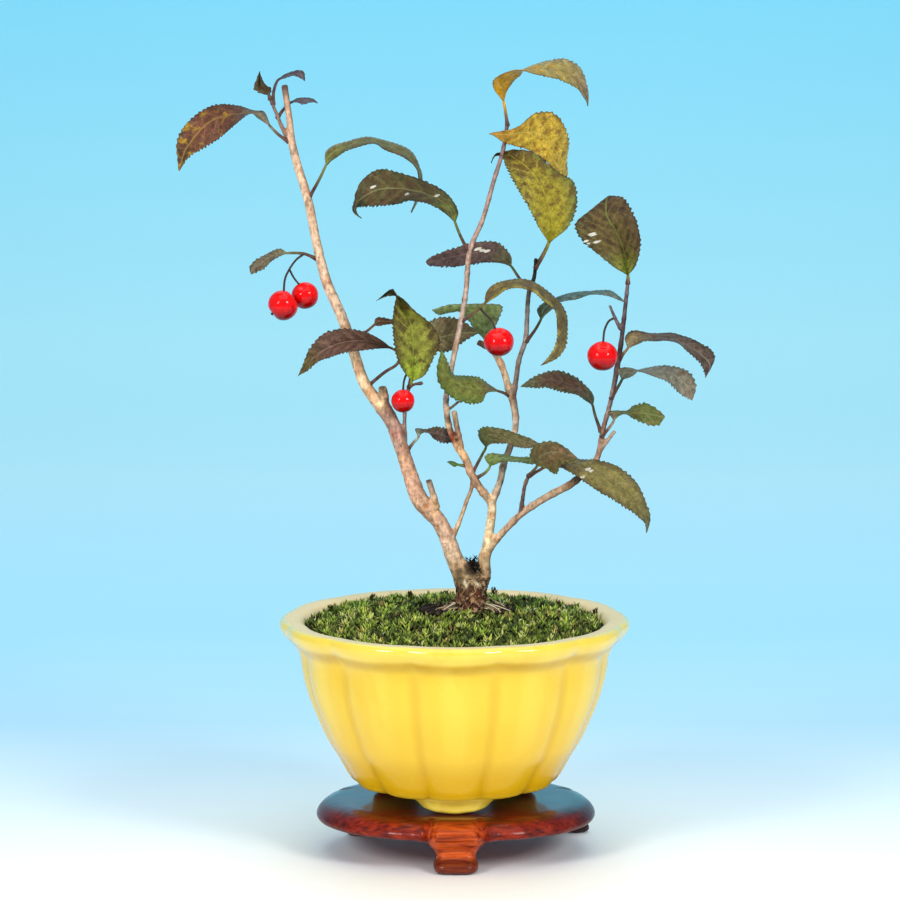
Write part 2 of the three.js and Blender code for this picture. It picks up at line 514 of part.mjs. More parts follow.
// Leaves. Each has its stalk's route, the base of its blade, its tip, and rows across the blade
// from base to tip: [one edge], [midrib with its depth], [other edge]. An edge has no depth of its
// own: where the picture shows it nearer to the midrib than the blade is wide, it is turned towards
// the viewer (+1) or away (-1) by what is missing.
const leaves = {
  leaf_01: {
    finish: 'plumLeaf', half: 6.6, turned: [1, -1], stalk: [[289, 142, -7], [279, 135, -6.4]],
    base: [270, 126, -6], tip: [179, 171, 8],
    rows: [
      [[264, 111], [262, 116, -5], [258, 118]],
      [[253, 110.5], [253, 112, -4], [252, 114]],
      [[238, 105.5], [236, 113, -1], [238, 122]],
      [[212, 105.5], [212, 120, 3], [222, 136.5]],
      [[190, 120], [195, 136, 6], [204, 148]],
      [[177, 140], [184, 153, 8], [189, 157]],
    ],
  },
  leaf_02: {
    finish: 'plumLeaf', half: 3.4, turned: [1, 1], stalk: [[270.6, 100, -8]],
    base: [268.8, 95, -8], tip: [259.5, 71, -7],
    rows: [
      [[262, 94], [266, 91, -8], [272, 90]],
      [[254, 89], [260, 86, -7.5], [265, 84]],
      [[257, 77.5], [259.5, 78, -7], [262, 78]],
    ],
  },
  leaf_03: {
    finish: 'plumLeaf', half: 2.4, turned: [1, -1], stalk: [[273, 105, -7.6], [274, 90, -9]],
    base: [278, 80, -9], tip: [305, 81, -5],
    rows: [
      [[284, 74.5], [284.5, 76, -8.5], [286, 78]],
      [[292, 71.5], [293, 73.5, -8], [294, 76]],
      [[303, 71.5], [300, 74, -6], [298, 77]],
    ],
  },
  leaf_04: {
    finish: 'plumLeaf', half: 2.4, turned: [1, -1],
    stalk: [[277.5, 118, -7.2], [283, 110, -10.6], [287, 105.5, -12]],
    base: [291, 102.5, -11.5], tip: [318, 103, -7],
    rows: [
      [[298, 97.5], [298, 100, -10], [297, 102.5]],
      [[306, 97], [306, 100.5, -9], [303, 104.5]],
      [[313, 99], [313, 101, -8], [311, 102.7]],
    ],
  },
  leaf_05: {
    finish: 'greenLeaf', half: 5.2, turned: [-1, 1], stalk: [[309, 198, -3], [320, 178, -2]],
    base: [326, 165, -2], tip: [412, 213, -9],
    rows: [
      [[326, 152], [330, 155, -2.4], [334, 159]],
      [[345, 142], [346, 146.5, -3.4], [348, 151]],
      [[368, 137], [368, 141, -4.4], [372, 144.5]],
      [[393, 143], [391, 147, -5.4], [385, 149.5]],
      [[412, 153], [409, 156.5, -6.4], [405, 158]],
      [[422, 172], [419.5, 172.5, -7.4], [417, 171]],
      [[422, 192], [419, 192, -8.4], [417, 192]],
    ],
  },
  leaf_06: {
    finish: 'greenLeaf', half: 6.8, turned: [1, -1], stalk: [[467.5, 250, -1], [460, 235, 0.5]],
    base: [455, 222, 2], tip: [361, 219, 2],
    rows: [
      [[458, 213], [451, 210, 3], [445, 213]],
      [[450, 197], [438, 198, 4.4], [430, 205]],
      [[430, 183], [418, 191, 5.4], [413, 201]],
      [[402, 173.5], [398, 188, 6], [393, 204.5]],
      [[378, 169.5], [377, 190, 6], [374, 206.5]],
      [[360, 183], [362, 198, 5.4], [361, 207]],
      [[353.5, 201], [356, 203.5, 4.4], [357.5, 208]],
      [[352, 210], [354, 212, 3.4], [356, 211]],
    ],
  },
  leaf_07: {
    finish: 'greenLeaf', half: 4, turned: [-1, 1], stalk: [[317, 259, 1], [305, 254, 2], [296, 253, 3.4]],
    base: [287, 253, 4.6], tip: [251, 274.5, 9],
    rows: [
      [[280, 249], [280, 252.5, 5.6], [280, 256]],
      [[268, 253.5], [268, 258, 7], [270, 262.5]],
      [[256, 260.5], [258, 265, 8], [263, 269]],
      [[250, 267], [252, 269, 8.6], [256, 272.5]],
    ],
  },
  leaf_08: {
    finish: 'plumLeaf', half: 6.2, turned: [1, 1],
    stalk: [[368, 386, 6], [385, 372, 8.4], [397, 364, 9.4], [400, 355, 9.8]],
    base: [392, 348.5, 10], tip: [298, 376, 12],
    rows: [
      [[383, 341], [380, 344.5, 10.4], [381, 348.5]],
      [[368, 333], [364, 340.5, 11], [362, 350.5]],
      [[346, 328.5], [344, 342, 11.4], [344, 353]],
      [[325, 333], [328, 348, 12], [330, 357.5]],
      [[310, 348], [314, 357.5, 12], [318, 362]],
      [[303, 364], [305, 368, 12], [308, 370.5]],
    ],
  },
  leaf_09: {
    finish: 'greenLeaf', half: 8.8, turned: [1, 1], stalk: [[409, 387, 5.6]],
    base: [412, 381, 9], tip: [376, 301, 15],
    rows: [
      [[404, 372], [412, 371, 12], [424, 376]],
      [[397, 358], [413, 354, 15], [434, 358]],
      [[393.5, 338], [413, 336, 17], [440, 341]],
      [[392.5, 322], [409, 319, 18], [431, 324]],
      [[394, 307], [402, 305, 18], [414, 310]],
      [[396, 296], [398, 297, 17.6], [401, 297.5]],
      [[393, 289], [391, 292, 17], [390, 296]],
    ],
  },
  leaf_10: {
    finish: 'plumLeaf', half: 1.8, turned: [1, -1], stalk: [[347, 337, 4.4], [358, 337, 5.4], [367, 331, 5.6]],
    base: [374, 325, 5.6], tip: [399, 320, 6.6],
    rows: [
      [[376, 318], [377, 322, 5.6], [379, 326]],
      [[384, 317.5], [384, 321, 6], [385, 324.5]],
      [[391, 319], [392, 321, 6.4], [391, 323.5]],
    ],
  },
  leaf_11: {
    finish: 'greenLeaf', half: 6.6, turned: [-1, 1], stalk: [[412, 369, 5.4], [418, 360, 3], [425, 352, 0]],
    base: [431, 346, -3], tip: [479, 333, -12],
    rows: [
      [[430, 322], [437, 339, -5.2], [440, 352]],
      [[446, 317], [450, 335, -8], [452, 350]],
      [[463, 321], [465, 333, -10.2], [465, 341]],
    ],
  },
  leaf_12: {
    finish: 'greenLeaf', half: 6.6, turned: [-1, -1], stalk: [[491, 350, -5.6], [488, 345, -7.4]],
    base: [485, 340, -9], tip: [432, 310, -18],
    rows: [
      [[474, 329], [484, 326, -11.4], [494, 328]],
      [[466, 317], [482, 314, -13.4], [500, 316]],
      [[458, 311.5], [474, 308, -15], [502, 306]],
      [[448, 313.5], [456, 309, -16.4], [470, 304.5]],
      [[438, 315], [442, 310.5, -17.4], [448, 305]],
    ],
  },
  leaf_13: {
    finish: 'goldLeaf', half: 4.6, turned: [-1, 1], stalk: [[460, 323, -1.6], [475, 312, 1]],
    base: [485, 303, 3], tip: [541, 366, 6],
    rows: [
      [[487, 291], [490, 296, 4.5], [494, 298.5]],
      [[499, 281.5], [503, 286, 6], [506, 290.5]],
      [[520, 279.5], [521, 283.5, 8], [520, 288]],
      [[537, 283], [535, 287, 9], [533, 292]],
      [[552, 294], [548, 298, 9.4], [543, 301]],
      [[564, 309], [559, 311, 9], [554, 310]],
      [[568, 328], [563, 329, 8.4], [558, 327]],
      [[566, 345], [560, 345, 7.6], [556, 341]],
      [[558, 357], [554, 356, 7], [551, 354]],
    ],
  },
  leaf_14: {
    finish: 'plumLeaf', half: 5.6, turned: [-1, 1], stalk: [[530, 290, -12], [520, 279, -12.4]],
    base: [511, 266, -12], tip: [425.5, 262, -9],
    rows: [
      [[511, 257], [505, 261, -11.4], [500, 263]],
      [[500, 243.5], [492, 252, -10.4], [486, 262.5]],
      [[480, 241.5], [474, 253, -9.6], [470, 265]],
      [[457, 247], [452, 257, -9], [450, 267]],
      [[440, 253], [438, 260, -9], [436, 266.5]],
      [[429, 258], [428.5, 262, -9], [428.5, 265.5]],
    ],
  },
  leaf_15: {
    finish: 'greenLeaf', half: 5, turned: [-1, 1], stalk: [[526, 342, -9.8], [535, 330, -8]],
    base: [541, 319, -6.6], tip: [622, 300, 8],
    rows: [
      [[537, 310], [543, 310, -5.4], [549, 312]],
      [[543, 302.5], [550, 304, -4], [556, 306.5]],
      [[557, 297], [560, 299.5, -2.4], [562, 302.5]],
      [[572, 293.5], [574, 295.5, 0], [576, 298.5]],
      [[592, 290.5], [592, 292.7, 3], [592, 295]],
      [[610, 291], [609, 293, 6], [608, 295.5]],
    ],
  },
  leaf_16: {
    finish: 'goldLeaf', half: 6, turned: [1, -1], stalk: [[507.5, 126, -2.5], [505.5, 112, -2]],
    base: [503.5, 101, -1.4], tip: [588, 106, -3],
    rows: [
      [[494.5, 90], [502, 90, 0.6], [508, 89]],
      [[493, 81], [503, 80, 2.6], [514, 81.5]],
      [[499, 75], [509, 75, 4], [519, 77]],
      [[511, 71], [517, 71.5, 5], [521, 74]],
      [[525, 71], [525, 69.8, 5.4], [524, 69]],
      [[539, 75], [541, 69, 5], [541, 63]],
      [[560, 80], [562, 71, 3], [562, 58.5]],
      [[576, 88], [577, 80, 0.6], [581, 68]],
      [[584, 98], [585, 94, -1.6], [587.5, 88]],
    ],
  },
  leaf_17: {
    finish: 'goldLeaf', half: 7.6, turned: [-1, 1], stalk: [[536, 266, -13], [543, 254.5, -14.5], [549, 242, -15.5], [553, 228, -16]],
    base: [556, 205, -16], tip: [489, 133.5, 3],
    rows: [
      [[565, 184], [560, 182, -15.2], [556, 182]],
      [[568, 158], [559, 160, -13.6], [550, 165]],
      [[567, 133], [550, 142, -10], [538, 155.5]],
      [[555, 114], [539, 133, -6.2], [526, 149]],
      [[536, 113], [526, 132, -3], [515, 146]],
      [[517, 127], [511, 134, 0.4], [504, 142.5]],
      [[501, 131], [498, 134.5, 2], [498, 138.5]],
    ],
  },
  leaf_18: {
    finish: 'goldLeaf', half: 8.8, turned: [1, 1], stalk: [[535, 269, -12.6], [542, 258, -12.4]],
    base: [549, 243, -11], tip: [491, 163, -7.8],
    rows: [
      [[539, 228], [552, 226, -9], [569, 226]],
      [[530, 210], [548, 205, -7.6], [577, 203]],
      [[520, 193], [541, 186, -6.6], [573, 181]],
      [[511, 177], [530, 170, -6], [558, 172]],
      [[505.5, 165], [517, 160, -6.8], [540, 156.5]],
      [[503, 158], [508, 155, -7.2], [520, 149.5]],
      [[499, 156], [500, 154, -7.4], [501, 152]],
      [[493.5, 157], [495, 156, -7.6], [496, 154]],
    ],
  },
  leaf_19: {
    finish: 'plumLeaf', half: 10.6, turned: [1, 1], stalk: [[627.8, 284, 18.8]],
    base: [628, 275, 19.6], tip: [608, 196, 13],
    rows: [
      [[615, 268], [627, 266, 20.4], [635, 267]],
      [[598, 254], [623, 248, 21.4], [640.5, 246]],
      [[582, 240], [616, 231, 21.4], [638, 226]],
      [[575, 225], [607, 216, 20.4], [631, 209]],
      [[590, 210], [606, 204, 17.6], [622.5, 197.5]],
    ],
  },
  leaf_20: {
    finish: 'plumLeaf', half: 6, turned: [1, -1], stalk: [[619, 360, 14.8], [624, 353, 16.4]],
    base: [628, 348, 17.6], tip: [706, 378, 24],
    rows: [
      [[625, 338], [631, 341, 19], [636, 345]],
      [[632, 331], [641, 336, 20.4], [646, 341.5]],
      [[651, 332.5], [655, 336.5, 21.6], [659, 341]],
      [[674, 334], [674, 338.5, 22.6], [674, 342]],
      [[694, 340], [690, 346, 23.6], [687, 350]],
      [[709, 348], [703, 356, 24.6], [698, 361]],
      [[715, 357], [710, 365, 25], [703, 369]],
    ],
  },
  leaf_21: {
    finish: 'plumLeaf', half: 5.4, turned: [1, -1], stalk: [[611, 399, 11], [618, 387, 14.4]],
    base: [622, 379.5, 16.4], tip: [692, 400.5, 18],
    rows: [
      [[618, 370], [624, 373, 18], [628, 378]],
      [[627, 368], [632, 371, 19.4], [634, 375]],
      [[641, 372], [641, 370.8, 20.4], [640, 369.5]],
      [[655, 376.5], [655, 371.5, 20.8], [654, 366.5]],
      [[668, 382.5], [672, 374, 20.6], [673, 366]],
      [[678, 392], [684, 383, 20], [689, 372]],
      [[685, 397], [691, 391, 19], [696, 385]],
    ],
  },
  leaf_22: {
    finish: 'greenLeaf', half: 4.2, turned: [1, -1], stalk: [[601.5, 437, 7.4], [609, 428, 9.6]],
    base: [614, 420, 11.6], tip: [665, 417, 17],
    rows: [
      [[608, 412], [613, 413, 13], [619, 416]],
      [[617, 410.5], [620, 412.5, 13.6], [622, 414.5]],
      [[627, 411], [627, 412.5, 14.4], [627, 414]],
      [[634, 406], [636, 412.5, 15], [633, 418]],
      [[646, 403], [648, 413.5, 16], [645, 424]],
      [[659, 410.5], [658, 416, 16.6], [658, 425.5]],
    ],
  },
  leaf_23: {
    finish: 'plumLeaf', half: 5, turned: [-1, 1], stalk: [[601, 432, 7.8], [595, 415, 8]],
    base: [592.5, 405, 7.6], tip: [520.5, 386.5, 3],
    rows: [
      [[594, 398], [590, 400, 7.4], [588, 402]],
      [[586, 385], [580, 390, 7], [577, 395.5]],
      [[570, 374], [565, 383, 6.4], [562, 392]],
      [[551, 370.5], [549, 380, 5.4], [549, 388.5]],
      [[534, 376.5], [534, 382.5, 4], [535, 388]],
    ],
  },
  leaf_24: {
    finish: 'greenLeaf', half: 6.6, turned: [-1, 1], stalk: [[511, 397, -7], [504, 393, -5.6]],
    base: [498, 391, -4.6], tip: [442, 350, 2],
    rows: [
      [[490, 384.5], [489, 388, -3], [487, 393]],
      [[480, 378], [478, 389, -1], [482, 402]],
      [[466, 375.5], [463, 386, 1], [468, 403.5]],
      [[454, 374.5], [452, 379, 2.4], [452, 398]],
      [[450, 369], [444, 371, 2.8], [440, 385]],
      [[447, 360], [442, 361, 2.6], [437, 368]],
    ],
  },
  leaf_25: {
    finish: 'greenLeaf', half: 7, turned: [-1, 1], stalk: [[529, 476, 4.4], [538, 471, 6]],
    base: [547, 466, 7.4], tip: [647, 533, 16],
    rows: [
      [[560, 456], [560, 462, 8.6], [560, 467.5]],
      [[578, 459], [578, 466, 9.8], [576, 475]],
      [[597, 460], [597, 473, 11.4], [592, 487]],
      [[617, 466], [614, 483, 13], [609, 497]],
      [[636, 482], [629, 496, 15], [624, 507]],
      [[645, 500], [639, 509, 16], [637, 515.5]],
      [[649, 515], [646, 519, 16.4], [644, 523]],
    ],
  },
  leaf_26: {
    finish: 'greenLeaf', half: 6.4, turned: [-1, 1], stalk: [[528.5, 476, 4.2], [533, 471, 7.4]],
    base: [537, 466, 9.6], tip: [578, 459, 14],
    rows: [
      [[530, 455], [538, 458, 11.6], [545, 468]],
      [[537, 444], [547, 453, 13.6], [556, 474]],
      [[552, 441.5], [558, 452, 14.6], [561, 466]],
      [[567, 448], [568, 455, 14.6], [570, 462]],
    ],
  },
  leaf_27: {
    finish: 'greenLeaf', half: 5.6, turned: [-1, 1], stalk: [[472, 474, -2], [482, 455, -0.5]],
    base: [486, 447, 0.5], tip: [543, 446, 6],
    rows: [
      [[480, 440], [485, 441, 1.5], [491, 444]],
      [[478, 432], [487, 436, 3], [497, 443.5]],
      [[483, 427], [496, 434, 4.2], [506, 443.5]],
      [[500, 428.5], [510, 437, 5], [516, 446.5]],
      [[517, 434], [523, 441, 5.4], [527, 448]],
      [[530, 438], [534, 442.5, 5.8], [535, 447.5]],
    ],
  },
  leaf_28: {
    finish: 'greenLeaf', half: 3.4, turned: [-1, 1], stalk: [[475, 479, -2.4], [486, 472, -1.5]],
    base: [490, 466, -0.5], tip: [541, 461, 4],
    rows: [
      [[484.5, 457], [489, 461, 0.5], [493, 465]],
      [[489, 453.5], [494, 458.5, 1.2], [498, 463.5]],
      [[500, 454.5], [502, 458, 2], [504, 461]],
      [[515, 457], [516, 459.3, 3], [517, 462]],
      [[531, 457], [531, 460.3, 3.6], [532, 464]],
    ],
  },
  leaf_29: {
    finish: 'plumLeaf', half: 3.4, turned: [1, -1], stalk: [[407, 451, 3], [414, 442, 3.4]],
    base: [418.5, 437, 3], tip: [456, 441, -7.4],
    rows: [
      [[415.5, 429], [419, 430, 3.4], [423, 432.5]],
      [[424, 429], [426, 431, 2.6], [428, 433]],
      [[437, 427.5], [437, 433.5, -0.6], [434, 438.5]],
      [[447, 429], [446, 436, -4.6], [444, 443]],
    ],
  },
  leaf_30: {
    finish: 'greenLeaf', half: 1.5, turned: [1, -1], stalk: [[467, 465.5, -2], [463, 465.5, -1]],
    base: [459, 464.8, -0.6], tip: [447, 461.5, 1],
    rows: [
      [[455.5, 461.8], [455, 464, 0], [454.5, 466.8]],
      [[450.5, 460.6], [450.5, 462.6, 0.6], [450.5, 464.6]],
    ],
  },
};

// A blade is drawn with this many rows, half of them tooth points and half notches.
function rowCount(halfWidth) {
  return halfWidth > 5.3 ? 20 : halfWidth > 3 ? 14 : 8;
}

function throughPoints(points) {
  return new THREE.CatmullRomCurve3(points, false, 'centripetal');
}

// An edge point's depth makes its distance from the midrib the blade's true half width.
function edgePoint(edge, rib, halfWidth, turn) {
  const flat = seen(edge.x, edge.y, -rib.y);
  const missing = Math.sqrt(Math.max(0, halfWidth ** 2 - flat.distanceToSquared(rib)));
  return seen(edge.x, edge.y, -rib.y + turn * missing);
}

function bladeRows({ base, tip, rows, half, turned }) {
  const flatPoint = ([c, r]) => new THREE.Vector3(c, r, 0);
  const rib = throughPoints([base, ...rows.map((row) => row[1]), tip].map((p) => new THREE.Vector3(...p)));
  const edges = [0, 2].map((side) => (
    throughPoints([flatPoint(base), ...rows.map((row) => flatPoint(row[side])), flatPoint(tip)])
  ));
  const count = rowCount(half);
  const result = [];
  for (let i = 0; i <= count; i += 1) {
    const along = i / count;
    const t = rib.getUtoTmapping(along);
    const ribAt = rib.getPoint(t);
    const ribPoint = seen(ribAt.x, ribAt.y, ribAt.z);
    const ovate = half * Math.max(0, Math.sin(Math.PI * along ** 0.85)) ** 0.75;
    const pair = edges.map((curve, k) => edgePoint(curve.getPoint(t), ribPoint, ovate, turned[k]));
    result.push([pair[0], ribPoint, pair[1]]);
  }
  return result;
}

function cutTeeth(rows) {
  const toothDepth = 0.5;
  const narrowest = 0.45;
  rows.forEach((row, i) => {
    const [one, rib, other] = row;
    [one, other].forEach((edge, k) => {
      const reach = edge.clone().sub(rib);
      const notch = i % 2 === 1 ? Math.min(toothDepth, reach.length() * 0.15) : 0;
      const across = reach.length() > 1e-3 ? reach.clone().normalize() : new THREE.Vector3();
      if (reach.length() - notch < narrowest) {
        const neighbour = rows[i === 0 ? 1 : Math.min(i, rows.length - 2)];
        across.copy(neighbour[2 * k]).sub(neighbour[1]).normalize();
        edge.copy(rib).addScaledVector(across, narrowest);
      } else {
        edge.addScaledVector(across, -notch);
      }
    });
  });
  return rows;
}

// Both faces of the blade share one split into triangles, half a thickness each side of its middle.
function bladeGeometry(leaf) {
  const rows = cutTeeth(bladeRows(leaf));
  const last = rows.length - 1;
  const points = [];
  for (const side of [1, -1]) {
    rows.forEach((row, i) => {
      const along = rows[Math.min(i + 1, last)][1].clone().sub(rows[Math.max(i - 1, 0)][1]);
      const across = row[2].clone().sub(row[0]);
      const normal = along.cross(across).normalize().multiplyScalar((side * bladeThickness) / 2);
      row.forEach((p) => points.push(p.clone().add(normal)));
    });
  }
  const back = rows.length * 3;
  const faces = [];
  for (let i = 0; i < last; i += 1) {
    for (let j = 0; j < 2; j += 1) {
      const a = i * 3 + j;
      const quads = j === 0 ? [[a, a + 1, a + 4], [a, a + 4, a + 3]] : [[a, a + 1, a + 3], [a + 1, a + 4, a + 3]];
      quads.forEach(([p, q, r]) => faces.push([p, q, r], [p + back, r + back, q + back]));
    }
    for (const [j, flip] of [[0, false], [2, true]]) {
      const a = i * 3 + j;
      const b = a + 3;
      const wallFaces = [[a, b, b + back], [a, b + back, a + back]];
      wallFaces.forEach(([p, q, r]) => faces.push(flip ? [p, r, q] : [p, q, r]));
    }
  }
  for (const [start, flip] of [[0, true], [last * 3, false]]) {
    for (let j = 0; j < 2; j += 1) {
      const a = start + j;
      const endFaces = [[a, a + 1, a + 1 + back], [a, a + 1 + back, a + back]];
      endFaces.forEach(([p, q, r]) => faces.push(flip ? [p, r, q] : [p, q, r]));
    }
  }
  return closedGeometry(points, faces);
}

// Fruits. The stalk enters at one pole and the dried flower stands at the other.
const fruits = {
  fruit_1: { centre: [283, 305.5, 9], across: 11.2, tall: 10.6, up: [0.8, 0.15, 0.6] },
  fruit_2: { centre: [305, 295.5, 2], across: 9.9, tall: 9.7, up: [-0.3, -0.7, 1] },
  fruit_3: { centre: [499, 342, 5], across: 11, tall: 10, up: [-0.15, -0.7, 1] },
  fruit_4: { centre: [602.5, 356, 20], across: 11.1, tall: 10.3, up: [0.05, -0.7, 1] },
  fruit_5: { centre: [403, 401, 9.6], across: 8.6, tall: 8.4, up: [0, -0.6, 1] },
};
const fruitStalks = [
  [[303, 254.5, 2.4, 0.9], [296, 260, 4, 0.8], [289, 270, 6, 0.8], [285, 279, 7.6, 0.8], [284, 288.4, 8.4, 0.8]],
  [[289.5, 269.5, 6, 0.8], [294, 278, 4, 0.7], [299, 282.4, 2.4, 0.7]],
  [[480, 308, 2.2, 0.9], [485, 314, 3.6, 0.8], [491, 320, 4.6, 0.8], [496, 328, 5, 0.8]],
  [[614.5, 318, 17.4, 0.9], [609, 321, 18.6, 0.8], [604.6, 330, 19.8, 0.8], [603.2, 341.6, 20, 0.8]],
  [[411, 373, 5.4, 0.9], [407, 374, 7, 0.8], [404, 381, 9, 0.8], [403, 389.5, 9.6, 0.8]],
];

function fruitSolid({ centre, across, tall, up }) {
  const levels = 8;
  const dimple = 0.5;
  const profile = [];
  for (let i = 0; i <= levels; i += 1) {
    const turn = (i / levels) * Math.PI;
    const pinch = i === 0 || i === levels ? dimple : 0;
    profile.push(new THREE.Vector2(Math.sin(turn) * across / 2, -Math.cos(turn) * (tall / 2 - pinch)));
  }
  profile[0].x = 0;
  profile[levels].x = 0;
  const flesh = new THREE.LatheGeometry(profile, 12);
  const sepals = 5;
  let fruit = solidOf(flesh);
  for (let k = 0; k < sepals; k += 1) {
    const sepal = new THREE.ConeGeometry(0.55, 1.9, 4);
    sepal.rotateX(Math.PI - 0.35);
    sepal.translate(0, -tall / 2 - 0.15, 0.75);
    sepal.rotateY((k / sepals) * Math.PI * 2);
    fruit = fruit.add(solidOf(sepal));
  }
  const geometry = geometryOf(fruit);
  const upright = new THREE.Vector3(...up).normalize();
  geometry.applyQuaternion(new THREE.Quaternion().setFromUnitVectors(new THREE.Vector3(0, 1, 0), upright));
  const place = seen(...centre);
  geometry.translate(place.x, place.y, place.z);
  return geometry;
}

// The stalk of a leaf ends a gap short of its blade.
function stalkSolid({ stalk, base }) {
  const points = [...stalk, base].map(([c, r, d]) => seen(c, r, d));
  const end = points[points.length - 1];
  const inward = points[points.length - 2].clone().sub(end).normalize();
  end.addScaledVector(inward, gap * 1.5);
  const curve = throughPoints(points);
  const count = Math.max(2, Math.round(curve.getLength() / 4.5));
  const frames = curve.computeFrenetFrames(count, false);
  const rings = [];
  for (let i = 0; i <= count; i += 1) {
    const width = THREE.MathUtils.lerp(petioleWidth * 1.25, petioleWidth * 0.85, i / count);
    rings.push(ringAt(curve.getPointAt(i / count), frames.normals[i], frames.binormals[i], width / 2, 5));
  }
  return solidOf(loft(rings));
}

function makeStems() {
  const stump = disc(stumpRadius, stumpBottom, trunkFoot.z + 1, trunkFoot.x, trunkFoot.y, 12);
  let wood = stump.add(stem(tallStem, 8, 8)).add(stem(rightTrunk, 8, 7));
  Object.values(branches).forEach((route) => {
    wood = wood.add(stem(route, 5, 7));
  });
  surfaceRoots.forEach((route) => {
    wood = wood.add(stem(route, 4, 4));
  });
  Object.values(leaves).forEach((leaf) => {
    wood = wood.add(stalkSolid(leaf));
  });
  fruitStalks.forEach((route) => {
    wood = wood.add(stem(route, 4, 4));
  });
  return wood;
}

addPiece('stems', geometryOf(makeStems()), finishes.bark);

for (const [name, leaf] of Object.entries(leaves)) {
  addPiece(name, bladeGeometry(leaf), finishes[leaf.finish]);
}

for (const [name, fruit] of Object.entries(fruits)) {
  addPiece(name, fruitSolid(fruit), finishes.fruit);
}

export default bonsai;
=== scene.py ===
# %% [markdown]
# # A winterberry holly bonsai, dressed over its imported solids
# The object is a small tree with two trunks in a lobed yellow bowl on a carved wooden stand. Its solids
# were made elsewhere and are loaded here as a fixed frame. This lesson gives every solid its finished
# surface: glaze, lacquered wood, moss, bark, leaves with teeth and veins, and glossy fruits.
# The frame could be dressed with modifiers alone. Surfaces worked out with numpy were chosen instead,
# because a tree is mostly curves read from a picture, and a formula keeps each one exactly on its line.

# %% Load the frame and measure it
import math
from collections import namedtuple

import bmesh
import bpy
import numpy as np
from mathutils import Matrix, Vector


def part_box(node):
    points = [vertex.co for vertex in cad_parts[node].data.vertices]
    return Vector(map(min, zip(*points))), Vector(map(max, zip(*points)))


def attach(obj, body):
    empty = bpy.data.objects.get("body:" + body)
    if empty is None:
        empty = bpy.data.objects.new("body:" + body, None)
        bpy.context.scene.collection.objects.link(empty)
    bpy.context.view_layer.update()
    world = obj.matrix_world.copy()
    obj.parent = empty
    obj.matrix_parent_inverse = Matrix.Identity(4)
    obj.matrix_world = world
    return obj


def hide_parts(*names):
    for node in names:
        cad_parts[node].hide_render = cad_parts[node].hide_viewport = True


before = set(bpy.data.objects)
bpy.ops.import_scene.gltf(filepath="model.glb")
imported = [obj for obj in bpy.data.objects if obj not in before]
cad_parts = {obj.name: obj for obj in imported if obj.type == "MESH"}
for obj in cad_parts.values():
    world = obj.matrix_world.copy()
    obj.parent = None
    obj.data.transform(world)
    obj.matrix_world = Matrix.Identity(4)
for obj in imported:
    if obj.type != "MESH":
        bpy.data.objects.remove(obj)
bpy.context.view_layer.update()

MM = 0.001  # lengths below are in millimetres, Blender's are in metres

# %% [markdown]
# ## The viewpoint
# A leaf or a twig is too irregular for a rule, so each is placed by where it is seen: a column and a row
# in a picture of 900 by 900 units, and a depth towards the viewer. One function turns all three into
# millimetres, and the camera uses the same numbers, so what is placed this way is seen in its place.
# A camera could be matched by eye and parts nudged to it. Sharing one set of numbers leaves nothing to nudge.

# %% From a place in the picture to a point in space
AXIS_X = 3.3           # the bowl's axis
VIEW_DISTANCE = 1480.0
VIEW_HEIGHT = 357.4
VIEW_X = AXIS_X - 1.67
VIEW_TILT = math.radians(7.96)
FOCAL = 4039.0         # in picture units
MIDDLE = 450.0


def seen(places):
    """Places (..., 3) of [column, row, depth] as points in millimetres.

    A ray leaves the viewpoint through the column and the row. The point is where it crosses the upright
    plane that stands depth millimetres in front of the bowl's axis."""
    places = np.asarray(places, float)
    across = places[..., 0] - MIDDLE
    up = MIDDLE - places[..., 1]
    forward = FOCAL * math.cos(VIEW_TILT) + up * math.sin(VIEW_TILT)
    rise = up * math.cos(VIEW_TILT) - FOCAL * math.sin(VIEW_TILT)
    reach = (VIEW_DISTANCE - places[..., 2]) / forward
    return np.stack([VIEW_X + across * reach, -places[..., 2], VIEW_HEIGHT + rise * reach], -1)


print("the trunk's foot is at", np.round(seen([471, 606, -5]), 1), "mm")

# %% The camera
SENSOR = 36.0
camera_data = bpy.data.cameras.new("camera")
camera_data.sensor_width = SENSOR
camera_data.lens = FOCAL / (2 * MIDDLE) * SENSOR
camera_data.clip_start = 0.05
camera = bpy.data.objects.new("camera", camera_data)
camera.location = (VIEW_X * MM, -VIEW_DISTANCE * MM, VIEW_HEIGHT * MM)
camera.rotation_euler = (math.pi / 2 - VIEW_TILT, 0, 0)
bpy.context.scene.collection.objects.link(camera)
bpy.context.scene.camera = camera
bpy.context.scene.view_settings.view_transform = "Standard"
print("lens", round(camera_data.lens, 1), "mm, tilted down", round(math.degrees(VIEW_TILT), 2), "degrees")

# %% [markdown]
# ## From arrays to meshes
# Every new piece is one or more grids of points: rows along it and columns round or across it. A small
# class gathers the grids of a piece, wraps or caps them, turns their faces outwards and writes the mesh in
# one go. Values per point, such as a leaf's colour or the distance from its midrib, travel with the points,
# and the materials read them. Blender's own editing tools could build the same faces one by one, but whole
# arrays are quicker and the shape stays readable as a formula.

# %% A mesh gathered from grids of points


def grid_faces(rows, columns, wrap_rows, wrap_columns):
    """Quads of a grid whose point (i, j) has the number i * columns + j. A wrapped side joins its last
    line to its first."""
    i, j = np.meshgrid(np.arange(rows if wrap_rows else rows - 1),
                       np.arange(columns if wrap_columns else columns - 1), indexing="ij")
    below = (i + 1) % rows
    beside = (j + 1) % columns
    return np.stack([i * columns + j, i * columns + beside,
                     below * columns + beside, below * columns + j], -1).reshape(-1, 4)


